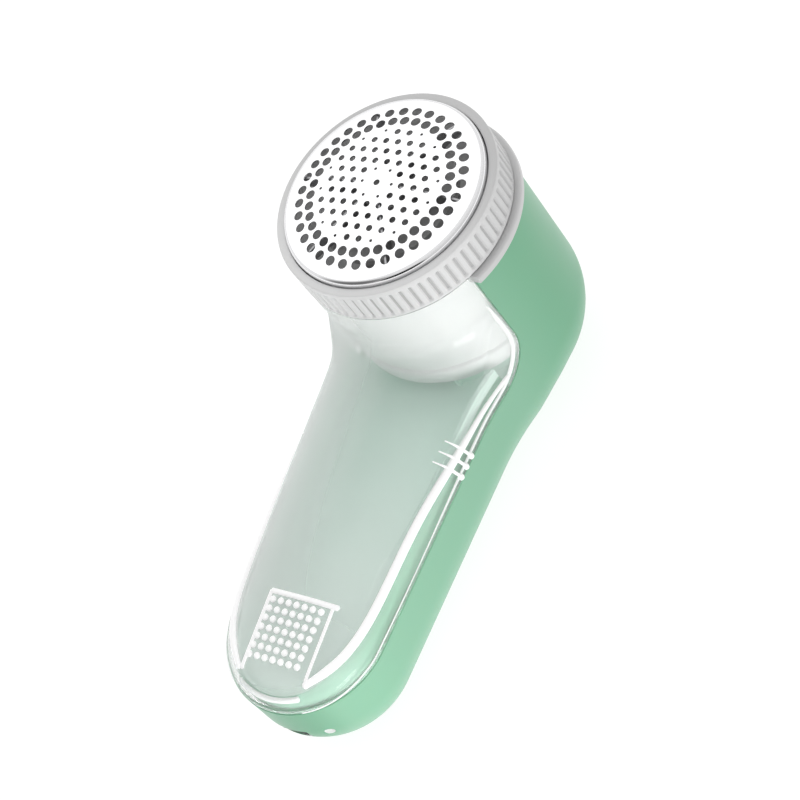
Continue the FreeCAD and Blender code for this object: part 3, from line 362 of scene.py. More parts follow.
def tube_along(name, line, radius, sides=12, flat=1.0, up=(0.0, 0.0, 1.0)):
    """A round or flattened bead along a line of points, with rounded ends."""
    line = np.array(line, float)
    count = len(line)
    tangent = np.gradient(line, axis=0)
    tangent /= np.linalg.norm(tangent, axis=1)[:, None]
    side = np.cross(tangent, np.tile(up, (count, 1)))
    side /= np.linalg.norm(side, axis=1)[:, None]
    top = np.cross(side, tangent)
    scale = np.broadcast_to(np.array(radius, float), (count,))
    points = []
    for index in range(count):
        for turn in 2 * math.pi * np.arange(sides) / sides:
            points.append(line[index] + scale[index] * (side[index] * math.cos(turn)
                                                        + top[index] * math.sin(turn) * flat))
    faces = []
    for index in range(count - 1):
        faces += band(index * sides, (index + 1) * sides, sides)
    for index, sign in ((0, -1), (count - 1, 1)):
        tip = len(points)
        points.append(line[index] + tangent[index] * sign * scale[index] * 0.6)
        for corner in range(sides):
            ring = (index * sides + corner, index * sides + (corner + 1) % sides)
            faces.append((*ring, tip) if sign > 0 else (*ring[::-1], tip))
    item = mesh_object(name, points, faces)
    outward(item)
    return item


# ---- materials

class Nodes:
    """A short way to build a material's node tree."""

    def __init__(self, name):
        self.material = bpy.data.materials.new(name)
        self.material.use_nodes = True
        self.tree = self.material.node_tree
        self.shader = self.tree.nodes["Principled BSDF"]
        self.where = self.add("ShaderNodeTexCoord").outputs["Object"]

    def add(self, kind, **settings):
        node = self.tree.nodes.new(kind)
        for key, value in settings.items():
            if key in node.inputs:
                node.inputs[key].default_value = value
            else:
                setattr(node, key, value)
        return node

    def link(self, output, target):
        self.tree.links.new(output, target)

    def noise(self, scale, detail=3.0, roughness=0.5):
        node = self.add("ShaderNodeTexNoise", Scale=scale, Detail=detail, Roughness=roughness)
        self.link(self.where, node.inputs["Vector"])
        return node.outputs["Fac"]

    def ramp(self, value, stops):
        node = self.add("ShaderNodeValToRGB")
        elements = node.color_ramp.elements
        while len(elements) < len(stops):
            elements.new(0.5)
        for element, (place, colour) in zip(elements, stops):
            element.position = place
            element.color = (*colour, 1.0) if len(colour) == 3 else colour
        self.link(value, node.inputs["Fac"])
        return node.outputs["Color"]

    def mixed(self, share, first, second):
        """Two shaders mixed: the first where share is 0, the second where it is 1."""
        node = self.add("ShaderNodeMixShader")
        for value, target in zip((share, first, second), node.inputs):
            self.link(value, target)
        return node.outputs["Shader"]

    def fade(self, colour, other, start, end, axis="Y"):
        """One colour going over into another along an axis, between two levels in metres."""
        along = self.add("ShaderNodeSeparateXYZ")
        self.link(self.where, along.inputs["Vector"])
        share = self.add("ShaderNodeMapRange", interpolation_type="SMOOTHSTEP")
        share.inputs["From Min"].default_value = start
        share.inputs["From Max"].default_value = end
        self.link(along.outputs[axis], share.inputs["Value"])
        mix = self.add("ShaderNodeMix", data_type="RGBA")
        self.link(share.outputs["Result"], mix.inputs["Factor"])
        self.link(colour, mix.inputs[6])
        mix.inputs[7].default_value = (*other, 1.0)
        return mix.outputs[2]

    def bump(self, height, strength, distance):
        node = self.add("ShaderNodeBump", Strength=strength, Distance=distance)
        self.link(height, node.inputs["Height"])
        self.link(node.outputs["Normal"], self.shader.inputs["Normal"])

    def set(self, **values):
        for name, value in values.items():
            self.shader.inputs[name.replace("_", " ")].default_value = value
        return self


def grey(value):
    return (value, value, value)


def tint(colour, factor):
    return tuple(min(1.0, c * factor) for c in colour)


def moulded(name, colour, roughness, variation=0.012, grain=5000.0, grain_depth=0.000002,
            painted_light_fades=(), **extra):
    """Moulded plastic: slight colour drift, uneven gloss and a very fine grain, with painted light and
    shade fading in along an axis where given.
    """
    nodes = Nodes(name)
    drift = nodes.noise(38.0, 2.0)
    tone = nodes.ramp(drift, [(0.3, tint(colour, 1 - variation)), (0.7, tint(colour, 1 + variation))])
    # Each fade paints light and shade into the colour along an axis.
    for fade in painted_light_fades:
        tone = nodes.fade(tone, *fade)
    nodes.link(tone, nodes.shader.inputs["Base Color"])
    gloss = nodes.noise(60.0, 2.0)
    nodes.link(nodes.ramp(gloss, [(0.3, grey(roughness * 0.93)), (0.7, grey(roughness * 1.07))]),
               nodes.shader.inputs["Roughness"])
    nodes.bump(nodes.noise(grain, 1.0), 0.15, grain_depth)
    nodes.set(**extra)
    return nodes.material


MINT = (0.153, 0.420, 0.247)
# The next mint is painted light on the handle, and the one after it painted shade at the handle's end.
PAINTED_LIGHT_MINT = (0.235, 0.490, 0.330)
PAINTED_SHADE_MINT = (0.140, 0.385, 0.230)
# The second, paler mint is painted light on the deck towards the handle's end.
PALE_MINT, PAINTED_LIGHT_PALE_MINT = (0.55, 0.715, 0.635), (0.64, 0.78, 0.71)
# The rim's darker mint is painted shade on its outer face, and its lighter mint painted light near the
# handle's end.
RIM_PAINTED_SHADE_MINT, RIM_PAINTED_LIGHT_MINT = (0.20, 0.44, 0.29), (0.33, 0.56, 0.43)
# Both glows below are painted light on plastic parts; the white one also lights the floor evenly.
MINT_GLOW, WHITE_GLOW = (0.86, 1.0, 0.93, 1.0), (1.0, 1.0, 1.0, 1.0)

MATERIALS = {
    # The housing is painted lighter along the handle as painted light, keeps the darker base mint at the
    # head as painted shade under the ring and collar, and is painted darker at the very end as painted
    # shade.
    "mint": moulded("mint_plastic", MINT, 0.38, Specular_IOR_Level=0.4,
                    Sheen_Weight=0.12, Sheen_Roughness=0.45,
                    Subsurface_Weight=0.05, Subsurface_Scale=0.003,
                    painted_light_fades=[(PAINTED_LIGHT_MINT, 0.050, 0.020), (PAINTED_SHADE_MINT, -0.068, -0.0745)]),
    # The deck is painted paler towards the handle's end, and glows faintly: painted light that lifts the
    # shade under the chamber.
    "deck": moulded("deck_plastic", PALE_MINT, 0.42, painted_light_fades=[(PAINTED_LIGHT_PALE_MINT, 0.0, -0.060)],
                    Emission_Color=MINT_GLOW, Emission_Strength=0.10),
    # The rim's outer face is painted darker mint as shade, and lighter towards the handle's end as painted
    # light.
    "rim": moulded("rim_plastic", RIM_PAINTED_SHADE_MINT, 0.42, painted_light_fades=[(RIM_PAINTED_LIGHT_MINT, -0.046, -0.066)]),
    # The white plastic glows faintly: painted light on the chamber and its lip.
    "white": moulded("white_plastic", grey(0.75), 0.36,
                     Emission_Color=WHITE_GLOW, Emission_Strength=0.05),
    # The groove bottoms are a darker grey: painted shade in the knurl's recesses.
    "groove": moulded("ring_groove_painted_shade", grey(0.52), 0.5),
    # The ring is painted lighter on the handle's side and darker on the far side of the head, as painted
    # light and shade.
    "ring": moulded("ring_plastic", grey(0.78), 0.36, painted_light_fades=[(grey(0.56), 0.020, 0.064)],
                    Coat_Weight=0.1, Coat_Roughness=0.25),
    "collar": moulded("collar_plastic", grey(0.60), 0.36),
    "black": moulded("black_plastic", grey(0.03), 0.45),
    "rubber": moulded("rubber", grey(0.035), 0.8),
    "dark": moulded("cutter_plastic", grey(0.50), 0.5),
}


MILK = (0.86, 0.90, 0.88)
# The veil at grazing angles is partly the plastic's milky haze and partly painted reflection.
VEIL = ((0.10, 0.03), (0.21, 0.07), (0.32, 0.17), (0.7, 0.24), (1.0, 0.6))
# The fades paint more veil towards the handle's end and the left side, and less low on the walls: painted
# sheen by place.
PAINTED_SHEEN_FADES = (("Y", 0.36, 0.014, -0.085), ("X", 0.60, 0.004, -0.022), ("Z", 0.10, 0.0325, 0.0290))


def clear_plastic(name, roughness, haze=0.0, colour=(0.985, 0.995, 0.99)):
    """Polished clear plastic that lamps shine through, with a milky veil at grazing angles that is partly
    haze and partly painted reflection, and painted sheen by place.
    """
    nodes = Nodes(name)
    drift = nodes.noise(30.0, 2.0)
    nodes.link(nodes.ramp(drift, [(0.3, tint(colour, 0.99)), (0.7, tint(colour, 1.005))]),
               nodes.shader.inputs["Base Color"])
    gloss = nodes.noise(50.0, 2.0)
    nodes.link(nodes.ramp(gloss, [(0.3, grey(roughness * 0.8)), (0.7, grey(roughness * 1.2))]),
               nodes.shader.inputs["Roughness"])
    nodes.bump(nodes.noise(120.0, 2.0), 0.1, 0.00002)
    nodes.set(Transmission_Weight=1.0 - haze, IOR=1.25, Specular_IOR_Level=0.5)
    straight = nodes.add("ShaderNodeBsdfTransparent", Color=(*tint(colour, 0.98), 1.0))
    lamps = nodes.add("ShaderNodeLightPath").outputs["Is Shadow Ray"]
    milk = nodes.add("ShaderNodeBsdfDiffuse", Color=(*MILK, 1.0))
    veil = nodes.ramp(nodes.add("ShaderNodeLayerWeight", Blend=0.5).outputs["Facing"],
                      [(facing, grey(share)) for facing, share in VEIL])
    # Painted sheen: the veil is raised along Y and X and lowered along Z.
    for axis, share, start, end in PAINTED_SHEEN_FADES:
        veil = nodes.fade(veil, grey(share), start, end, axis)
    hazy = nodes.mixed(veil, nodes.shader.outputs["BSDF"], milk.outputs["BSDF"])
    whole = nodes.mixed(lamps, hazy, straight.outputs["BSDF"])
    nodes.link(whole, nodes.tree.nodes["Material Output"].inputs["Surface"])
    return nodes.material


def metal(name, colour, roughness, brushed=(1.0, 1.0, 1.0), depth=0.000002, grain=2600.0):
    """Bare metal: a fine grain, stretched where it was brushed or ground."""
    nodes = Nodes(name)
    stretch = nodes.add("ShaderNodeMapping")
    stretch.inputs["Scale"].default_value = brushed
    nodes.link(nodes.where, stretch.inputs["Vector"])
    nodes.where = stretch.outputs["Vector"]
    streaks = nodes.noise(grain, 4.0, 0.6)
    nodes.link(nodes.ramp(streaks, [(0.25, tint(colour, 0.94)), (0.75, colour)]),
               nodes.shader.inputs["Base Color"])
    nodes.link(nodes.ramp(streaks, [(0.25, grey(roughness * 1.25)), (0.75, grey(roughness * 0.75))]),
               nodes.shader.inputs["Roughness"])
    nodes.bump(streaks, 0.15, depth)
    nodes.set(Metallic=1.0)
    return nodes.material


MATERIALS.update({
    "clear": clear_plastic("clear_plastic", 0.06),
    "frost": clear_plastic("frosted_plastic", 0.35, haze=0.55),
    # White with a faint glow: a painted highlight on the bin's beads, grip ribs and the rim's bead, and
    # painted light on the thumb pad's frame and studs.
    "bright": moulded("white_and_painted_highlight", grey(0.95), 0.3, variation=0.01,
                      Emission_Color=WHITE_GLOW, Emission_Strength=0.14),
    "foil": metal("foil_steel", (0.93, 0.93, 0.94), 0.10),
    "blade": metal("blade_steel", (0.45, 0.45, 0.46), 0.42, (1.0, 1.0, 12.0)),
    "steel": metal("zinc_steel", (0.66, 0.66, 0.67), 0.3),
    "bronze": metal("bronze", (0.60, 0.42, 0.24), 0.35),
    "copper": metal("copper", (0.72, 0.40, 0.26), 0.3),
    "ferrite": moulded("ferrite", grey(0.05), 0.6),
    "wrap": moulded("cell_wrap", (0.03, 0.12, 0.33), 0.3),
    "board": moulded("circuit_board", (0.02, 0.14, 0.06), 0.35),
    "wire": moulded("wire_insulation", (0.35, 0.02, 0.015), 0.4),
    "felt": moulded("felt", grey(0.18), 0.95, variation=0.2, grain=3000.0, grain_depth=0.0001),
})


def paint(item, name):
    """Give an item one material, in place of what it had."""
    item.data.materials.clear()
    item.data.materials.append(MATERIALS[name])
    return item


def piece(item, material, body, slot_name, *replaced):
    """Finish a new piece: its material, the body it moves with and what it stands for; its slot name is not
    used.
    """
    paint(item, material)
    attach(item, body)
    if replaced:
        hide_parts(*replaced)
    return item


# ---- finishing meshes

def second_tone(item, name, where):
    """The faces whose centres (in millimetres) satisfy where take another material."""
    item.data.materials.append(MATERIALS[name])
    centres = np.array([face.center for face in item.data.polygons]) / MM
    item.data.polygons.foreach_set("material_index", np.where(where(*centres.T), 1, 0).astype(np.int32))
    item.data.update()


def baked(item, sharp=40.0):
    """Apply an object's modifiers, and keep its shading crisp across the sharper edges."""
    bpy.context.view_layer.update()
    graph = bpy.context.evaluated_depsgraph_get()
    mesh = bpy.data.meshes.new_from_object(item.evaluated_get(graph))
    item.modifiers.clear()
    item.data = mesh
    mesh.set_sharp_from_angle(angle=math.radians(sharp))
    return item


def subtract(item, *cutters):
    """Cut other meshes out of one, and remove them."""
    for cutter in cutters:
        cut = item.modifiers.new("cut", "BOOLEAN")
        cut.operation, cut.solver, cut.object = "DIFFERENCE", "EXACT", cutter
    baked(item)
    for cutter in cutters:
        bpy.data.objects.remove(cutter)
    return item


def block(low, high, corner=0.0):
    """A box whose upright edges may be rounded."""
    (x0, y0, z0), (x1, y1, z1) = low, high
    plan = rounded([(x0, y0), (x1, y0), (x1, y1), (x0, y1)], corner)
    points = [(x, y, z) for z in (z0, z1) for x, y in plan]
    count = len(plan)
    faces = [tuple(range(count))[::-1], tuple(range(count, 2 * count)), *band(0, count, count)]
    return mesh_object("block", points, faces, smooth=False)


def rod(start, end, radius, sides=48):
    """A plain round bar between two points."""
    start, end = np.array(start, float), np.array(end, float)
    along = (end - start) / np.linalg.norm(end - start)
    across = np.cross(along, (0.0, 0.0, 1.0) if abs(along[2]) < 0.9 else (1.0, 0.0, 0.0))
    across /= np.linalg.norm(across)
    other = np.cross(along, across)
    points = [p + radius * (across * math.cos(a) + other * math.sin(a))
              for p in (start, end) for a in 2 * math.pi * np.arange(sides) / sides]
    faces = [tuple(range(sides))[::-1], tuple(range(sides, 2 * sides)), *band(0, sides, sides)]
    item = mesh_object("rod", points, faces)
    outward(item)
    return item


# ---- rear housing

HOUSING_SCREWS = ((-11.5, -57.0), (11.5, -57.0), (-11.5, 8.0), (11.5, 8.0))
SINK_R, SINK_TOP, BOSS_R, BOSS_TOP = 2.5, 3.6, 3.4, 9.0
BOSS_FOOT, PILOT_R = 1.2, 1.45
SWITCH_Y = 14.0
RECESS_HALF_X, RECESS_HALF_Y, RECESS_DEPTH = 6.0, 9.0, 1.8
SLOT_HALF_X, SLOT_HALF_Y = 2.4, 5.4
PORT_LOW, PORT_HIGH = node_box("usb_socket")
PORT_GAP = 0.25
LIGHT_X, LIGHT_Z, LIGHT_R = 10.5, 14.4, 1.3


def housing_shell():
    """The rear shell, with its screw sinks, switch slot, charging port and light hole."""
    item = shell_of(
        "rear_shell", housing_distance, (-31, -77, -1.5), (31, 75.5, 63), 1.0,
        [lambda p: -seam_distance(p[:, 1], p[:, 2], 0.0), lambda p: p[:, 2] - HOUSING_TOP], WALL)
    baked(soften(item, 0.3))
    holes = [block((-RECESS_HALF_X, SWITCH_Y - RECESS_HALF_Y, -1),
                   (RECESS_HALF_X, SWITCH_Y + RECESS_HALF_Y, RECESS_DEPTH), 2.0),
             block((-SLOT_HALF_X, SWITCH_Y - SLOT_HALF_Y, 0.5),
                   (SLOT_HALF_X, SWITCH_Y + SLOT_HALF_Y, 6), 0.8),
             block((PORT_LOW[0] - PORT_GAP, -78, PORT_LOW[2] - PORT_GAP),
                   (PORT_HIGH[0] + PORT_GAP, -69, PORT_HIGH[2] + PORT_GAP)),
             rod((LIGHT_X, -78, LIGHT_Z), (LIGHT_X, -62, LIGHT_Z), LIGHT_R)]
    holes += [rod((x, y, -1), (x, y, 6), SINK_R) for x, y in HOUSING_SCREWS]
    return subtract(item, *holes)


piece(housing_shell(), "mint", "housing", "mint_plastic", "rear_housing")
for number, (x, y) in enumerate(HOUSING_SCREWS):
    boss = lathe(f"screw_boss_{number}",
                 [(SINK_R, BOSS_FOOT), (BOSS_R, BOSS_FOOT), (BOSS_R, BOSS_TOP), (PILOT_R, BOSS_TOP),
                  (PILOT_R, SINK_TOP), (SINK_R, SINK_TOP)], 48, x, y)
    piece(baked(boss), "mint", "housing", "mint_plastic", "rear_housing")

# ---- deck, and its rim

DECK_CROWN, DECK_CROWN_HALF = 1.5, 20.0
DECK_FOOT, DECK_THICK = 23.9, 1.4
MOTOR_HOLE_R = 12.3
RIM_FRONT_Y = 22.0
RIM_TONE_LEVEL, RIM_TONE_DROP = 30.8, 0.5


def deck_level(x, y):
    """The deck is a little higher along its middle, away from the head and the end."""
    along = (1 - ease(2, 16, y)) * ease(-73, -60, y)
    return SEAM_Z + DECK_CROWN * np.maximum(0, 1 - (x / DECK_CROWN_HALF) ** 2) * along


def deck_skin():
    """The deck between the walls, with a round hole for the motor."""
    def distance(x, y, z):
        return round_both(plan_distance(x, y) + WALL + 0.05, z - deck_level(x, y), 0.3)

    return baked(shell_of(
        "deck_skin", distance, (-30, -75, 22.3), (30, 75, 28.3), 1.0,
        [lambda p: DECK_FOOT - p[:, 2],
         lambda p: MOTOR_HOLE_R - np.hypot(p[:, 0], p[:, 1] - HEAD_Y)], DECK_THICK))


def rim_distance(x, y, z):
    """How far a point is outside the rim, which stands a gap inside the bin's wall."""
    return bin_distance(x, y, z) + (BIN_WALL + RIM_GAP)


def rim_slope(y):
    """The level of the rim's top near the handle's end, under the bin's sloping front."""
    return bin_front(y) - RIM_UNDER_FRONT


def rim_skin():
    """The rim, open at the head's end, where the chamber passes through it."""
    item = shell_of(
        "tray_rim_skin", rim_distance, (-28, -75, 23.7), (28, 26, 38), 0.9,
        [lambda p: SEAM_Z - p[:, 2],
         lambda p: p[:, 2] - np.minimum(RIM_TOP, rim_slope(p[:, 1])),
         lambda p: p[:, 1] - RIM_FRONT_Y,
         lambda p: CHAMBER_R + 1 - np.hypot(p[:, 0], p[:, 1] - HEAD_Y)], RIM_THICK)
    return baked(soften(item, 0.22, 3))


def pale_on_rim(x, y, z):
    """The rim's inner side and its top take the deck's paler colour as painted light, against the painted
    shade of its outer face.
    """
    top = z > RIM_TONE_LEVEL - RIM_TONE_DROP * (1 - ease(-52, -20, y))
    return top | (rim_distance(x, y, z) < -0.4 * RIM_THICK)


piece(deck_skin(), "deck", "housing", "deck_plastic", "front_deck")
rim = piece(rim_skin(), "rim", "housing", "deck_plastic", "tray_rim")
# Painted light and shade on the rim: its inner side and top take the paler deck colour, its outer face
# stays darker.
second_tone(rim, "deck", pale_on_rim)

# ---- lint bin

WAIST_START, WAIST_STOP, WAIST_ROUND_END = 22.5, -52.6, ((17.3, -58.3), (14.5, -63.0))
WAIST_LEVEL, WAIST_DROP_HEAD, WAIST_DROP_END = 33.2, 4.0, 1.4
WAIST_FINE, WAIST_SWELL, WAIST_TAPER = 0.6, 0.55, 0.3
SEAM_FINE, SEAM_SWELL, SEAM_HEAD_SWELL = 0.20, 0.30, 0.20
SEAM_BEAD_LIFT, SEAM_BEAD_RISE, SEAM_BEAD_BACK = 0.06, 1.1, 0.95
RIB_COUNT, RIB_FIRST_Y, RIB_PITCH, RIB_SLANT = 3, 1.0, 3.0, 0.18
RIB_LOW, RIB_HIGH, RIB_FOOT_R, RIB_TIP_R = 26.8, 36.6, 0.42, 0.18
BUMP_PROFILE = ((0.02, 25.95), (0.75, 26.05), (0.85, 26.6), (0.6, 27.2), (0.02, 27.4))
PAD_LEFT, PAD_RIGHT, PAD_TOP, PAD_END = -9.0, 10.0, -47.9, -68.0
DOT_COUNT, DOT_PITCH_X, DOT_PITCH_Y, DOT_SLANT = 7, 2.47, 2.38, 0.12
DOTS_X, DOTS_Y = -0.45, -57.15
DOT_PROFILE = ((0.86, -0.3), (0.86, 0.22), (0.74, 0.38), (0.45, 0.47))
DOT_TOP, DOT_SIDES = 0.5, 20
SIDES = {-1: "left", 1: "right"}


def bin_shell():
    """The clear shell: open at the back and at the top, and cut along the seam."""
    item = shell_of(
        "bin_shell", bin_distance, (-31, -77, 23.4), (31, 33.2, 66), 0.9,
        [lambda p: seam_distance(p[:, 1], p[:, 2], SEAM_GAP), lambda p: p[:, 2] - COLUMN_TOP], BIN_WALL)
    return baked(soften(item, 0.25))


def crossing(field, low, high):
    """Where a rising field passes 0 between low and high."""
    for _ in range(40):
        middle = (low + high) / 2
        low, high = (middle, high) if field(middle) < 0 else (low, middle)
    return (low + high) / 2


def side_of_bin(y, z):
    """How far out the bin's side is."""
    return crossing(lambda x: float(bin_distance(x, y, z)), 1.0, 31.5)


def front_of_bin(x, y):
    """The level of the bin's front, over a point of the plan."""
    return crossing(lambda z: float(bin_distance(x, y, z)), 24.0, 60.0)


def sunk(line, depth):
    """Points on the bin's surface, moved straight in by depth."""
    line = np.array(line, float)
    slope = gradient(bin_distance, line)
    return line - slope / np.linalg.norm(slope, axis=1)[:, None] * np.reshape(depth, (-1, 1))


def even(line, step=0.8):
    """The same path with evenly spaced points."""
    line = np.array(line, float)
    lengths = np.concatenate([[0], np.cumsum(np.linalg.norm(np.diff(line, axis=0), axis=1))])
    places = np.linspace(0, lengths[-1], max(4, int(lengths[-1] / step)))
    return np.stack([np.interp(places, lengths, line[:, axis]) for axis in range(3)], axis=1)


def smooth_path(line, rounds=3):
    """The same path with its corners eased and its ends kept."""
    line = np.array(line, float)
    for _ in range(rounds):
        line[1:-1] = (line[:-2] + 2 * line[1:-1] + line[2:]) / 4
    return line


def waist_bead(side):
    """A white bead along the bin's wall, from the seam's corner to the thumb pad, standing as a painted
    highlight.
    """
    line = []
    for y in np.arange(WAIST_START, WAIST_STOP, -1.5):
        z = WAIST_LEVEL - WAIST_DROP_HEAD * ease(-20, 26, y) - WAIST_DROP_END * (1 - ease(-52, -20, y))
        line.append((side_of_bin(y, z), y, z))
    for x, y in (*WAIST_ROUND_END, (PAD_RIGHT, PAD_END)):
        line.append((x, y, front_of_bin(x, y)))
    line = smooth_path(even(line), 12)
    share = np.linspace(0, 1, len(line))
    radius = WAIST_FINE + WAIST_SWELL * ease(0.0, 0.35, share) - WAIST_TAPER * ease(0.92, 1.0, share)
    return tube_along(f"waist_bead_{SIDES[side]}",
                      sunk(line, radius * 0.25) * (side, 1, 1), radius, 14)


def seam_bead(side):
    """The bin's lower edge as a white bead, a painted highlight, bolder where it turns up to the head and
    finer towards the end.
    """
    def radius_at(y):
        return SEAM_FINE + SEAM_SWELL * ease(-34, 6, y) + SEAM_HEAD_SWELL * ease(14, 24, y)

    def level_at(y):
        return SEAM_Z + SEAM_BEAD_LIFT + radius_at(y) + SEAM_BEAD_RISE * ease(-74, -60, y)

    top_y, low_z = SEAM_Y - SEAM_GAP - SEAM_BEAD_BACK, level_at(8)
    turn_y, turn_z = top_y - SEAM_CORNER, low_z + SEAM_CORNER
    spots = [(top_y, z) for z in np.linspace(COLUMN_TOP - 12.0, turn_z, 10)]
    spots += [(turn_y + SEAM_CORNER * math.cos(a), turn_z - SEAM_CORNER * math.sin(a))
              for a in np.linspace(0.1, math.pi / 2, 12)]
    spots += [(y, level_at(y)) for y in np.arange(turn_y - 2, END_Y - 1, -2.0)]
    line = [(side_of_bin(y, z), y, z) for y, z in spots]
    for a in np.linspace(0.08, 1.16 if side > 0 else 0.9, 22):
        y = END_Y - HANDLE_HALF * math.sin(a)
        line.append((HANDLE_HALF * math.cos(a), y, level_at(y)))
    line = smooth_path(even(line), 3)
    radius = radius_at(line[:, 1])
    radius = radius * (0.4 + 0.6 * ease(0.0, 0.06, np.linspace(0, 1, len(line))))
    return tube_along(f"seam_bead_{SIDES[side]}",
                      sunk(line, radius) * (side, 1, 1), radius, 10, up=(1.0, 0.0, 0.0))


def on_front(name, corners, radius, sink=0.15, flat=0.55):
    """A low bead laid on the bin's front along straight runs between plan points."""
    line = even([(x, y, 0) for x, y in corners])
    line[:, 2] = [front_of_bin(x, y) - sink for x, y, _ in line]
    return tube_along(name, line, radius, 12, flat=flat)


def pad_dots():
    """Low round studs that give the thumb grip."""
    points, faces = [], []
    middle = (DOT_COUNT - 1) // 2
    for row in range(-middle, middle + 1):
        for column in range(-middle, middle + 1):
            x = DOTS_X + column * DOT_PITCH_X - DOT_SLANT * row
            y = DOTS_Y - row * DOT_PITCH_Y
            base = len(points)
            for radius, rise in DOT_PROFILE:
                for px, py in circle_points(x, y, radius, DOT_SIDES):
                    points.append((px, py, front_of_bin(x, py) + rise))
            points.append((x, y, front_of_bin(x, y) + DOT_TOP))
            rows = [base + ring * DOT_SIDES for ring in range(len(DOT_PROFILE))]
            for first, second in zip(rows, rows[1:]):
                faces += band(first, second, DOT_SIDES)
            faces += [(rows[-1] + i, rows[-1] + (i + 1) % DOT_SIDES, len(points) - 1)
                      for i in range(DOT_SIDES)]
            faces.append(tuple(base + i for i in range(DOT_SIDES))[::-1])
    item = mesh_object("pad_dots", points, faces)
    outward(item)
    return baked(item, 50)


def grip_ribs(side):
    """Three fine ribs over the bin's side, each ending in a small bump at the seam."""
    items = []
    for index in range(RIB_COUNT):
        foot_y = RIB_FIRST_Y - RIB_PITCH * index
        line = []
        for z in np.linspace(RIB_LOW, RIB_HIGH, 16):
            y = foot_y - (z - RIB_LOW) * RIB_SLANT
            line.append((side_of_bin(y, z), y, z))
        line = smooth_path(even(line, 0.5), 2)
        share = np.linspace(0, 1, len(line))
        radius = RIB_FOOT_R - (RIB_FOOT_R - RIB_TIP_R) * ease(0.5, 0.95, share)
        items.append(tube_along(f"grip_rib_{index}", line, radius, 10))
        x = side_of_bin(foot_y, 26.4) - 0.15
        items.append(lathe(f"grip_bump_{index}", BUMP_PROFILE, 20, x, foot_y))
    work = bmesh.new()
    for item in items:
        work.from_mesh(item.data)
        bpy.data.objects.remove(item)
    joined = bpy.data.meshes.new("grip")
    work.to_mesh(joined)
    work.free()
    if side < 0:
        joined.transform(Matrix.Scale(-1, 4, (1, 0, 0)))
        joined.flip_normals()
    item = bpy.data.objects.new(f"grip_{SIDES[side]}", joined)
    bpy.context.scene.collection.objects.link(item)
    return item


PAD_FRAME = {
    "left": ([(PAD_LEFT, PAD_END), (PAD_LEFT, PAD_TOP)], 0.62),
    "top": ([(PAD_LEFT, PAD_TOP), (PAD_RIGHT + 1.4, PAD_TOP)], 0.75),
    "right": ([(PAD_RIGHT, PAD_TOP), (PAD_RIGHT, PAD_END)], 0.55),
}
piece(bin_shell(), "clear", "bin", "clear_plastic", "lint_bin")
# The bin's beads and grip ribs are white with a faint glow: painted highlights.
for side in SIDES:
    for edge in (waist_bead, seam_bead, grip_ribs):
        piece(edge(side), "bright", "bin", "clear_plastic", "lint_bin")
# The pad's frame and studs take the same white with a faint glow, painted light.
for name, (corners, radius) in PAD_FRAME.items():
    piece(on_front(f"pad_frame_{name}", corners, radius), "bright", "bin", "clear_plastic", "lint_bin")
piece(pad_dots(), "bright", "bin", "clear_plastic", "lint_bin")


RIM_BEAD_TURN, RIM_BEAD_R = (-0.50, 0.43), 0.72


def rim_bead():
    """A white bead on the deck's rim, round the handle's end: a painted highlight on the rim's top."""
    radius = HANDLE_HALF - BIN_WALL - RIM_GAP - RIM_THICK / 2
    line = []
    for a in np.linspace(*RIM_BEAD_TURN, 26):
        y = END_Y - radius * math.cos(a)
        line.append((radius * math.sin(a), y, rim_slope(y) + 0.05))
    return tube_along("rim_bead", line, RIM_BEAD_R, 12)


# The rim's bead is white with a faint glow: a painted highlight.
piece(rim_bead(), "bright", "housing", "deck_plastic", "tray_rim")

# ---- collar and ring

def collar():
    """The grey collar, cut off where the bin's half column begins."""
    whole = lathe("collar", rounded([(CHAMBER_R, COLLAR_LOW[2]), (COLLAR_R, COLLAR_LOW[2]),
                                     (COLLAR_R, COLLAR_HIGH[2]), (CHAMBER_R, COLLAR_HIGH[2])],
                                    [0, 0.9, 0.8, 0]))
    return subtract(whole, block((-40, -10, 50), (40, SEAM_Y, 70)))


piece(collar(), "collar", "housing", "grey_plastic", "head_collar")

KNURL_RIBS = 72
RIB_SAMPLES = 16
RING_R = RING_HIGH[0]
RING_INNER, RING_LIP, GROOVE_DEPTH = 28.3, 27.3, 0.6
GROOVE_FLAT, GROOVE_EDGE = 0.22, 0.78
KNURL_LOW, KNURL_HIGH = 64.6, 72.3


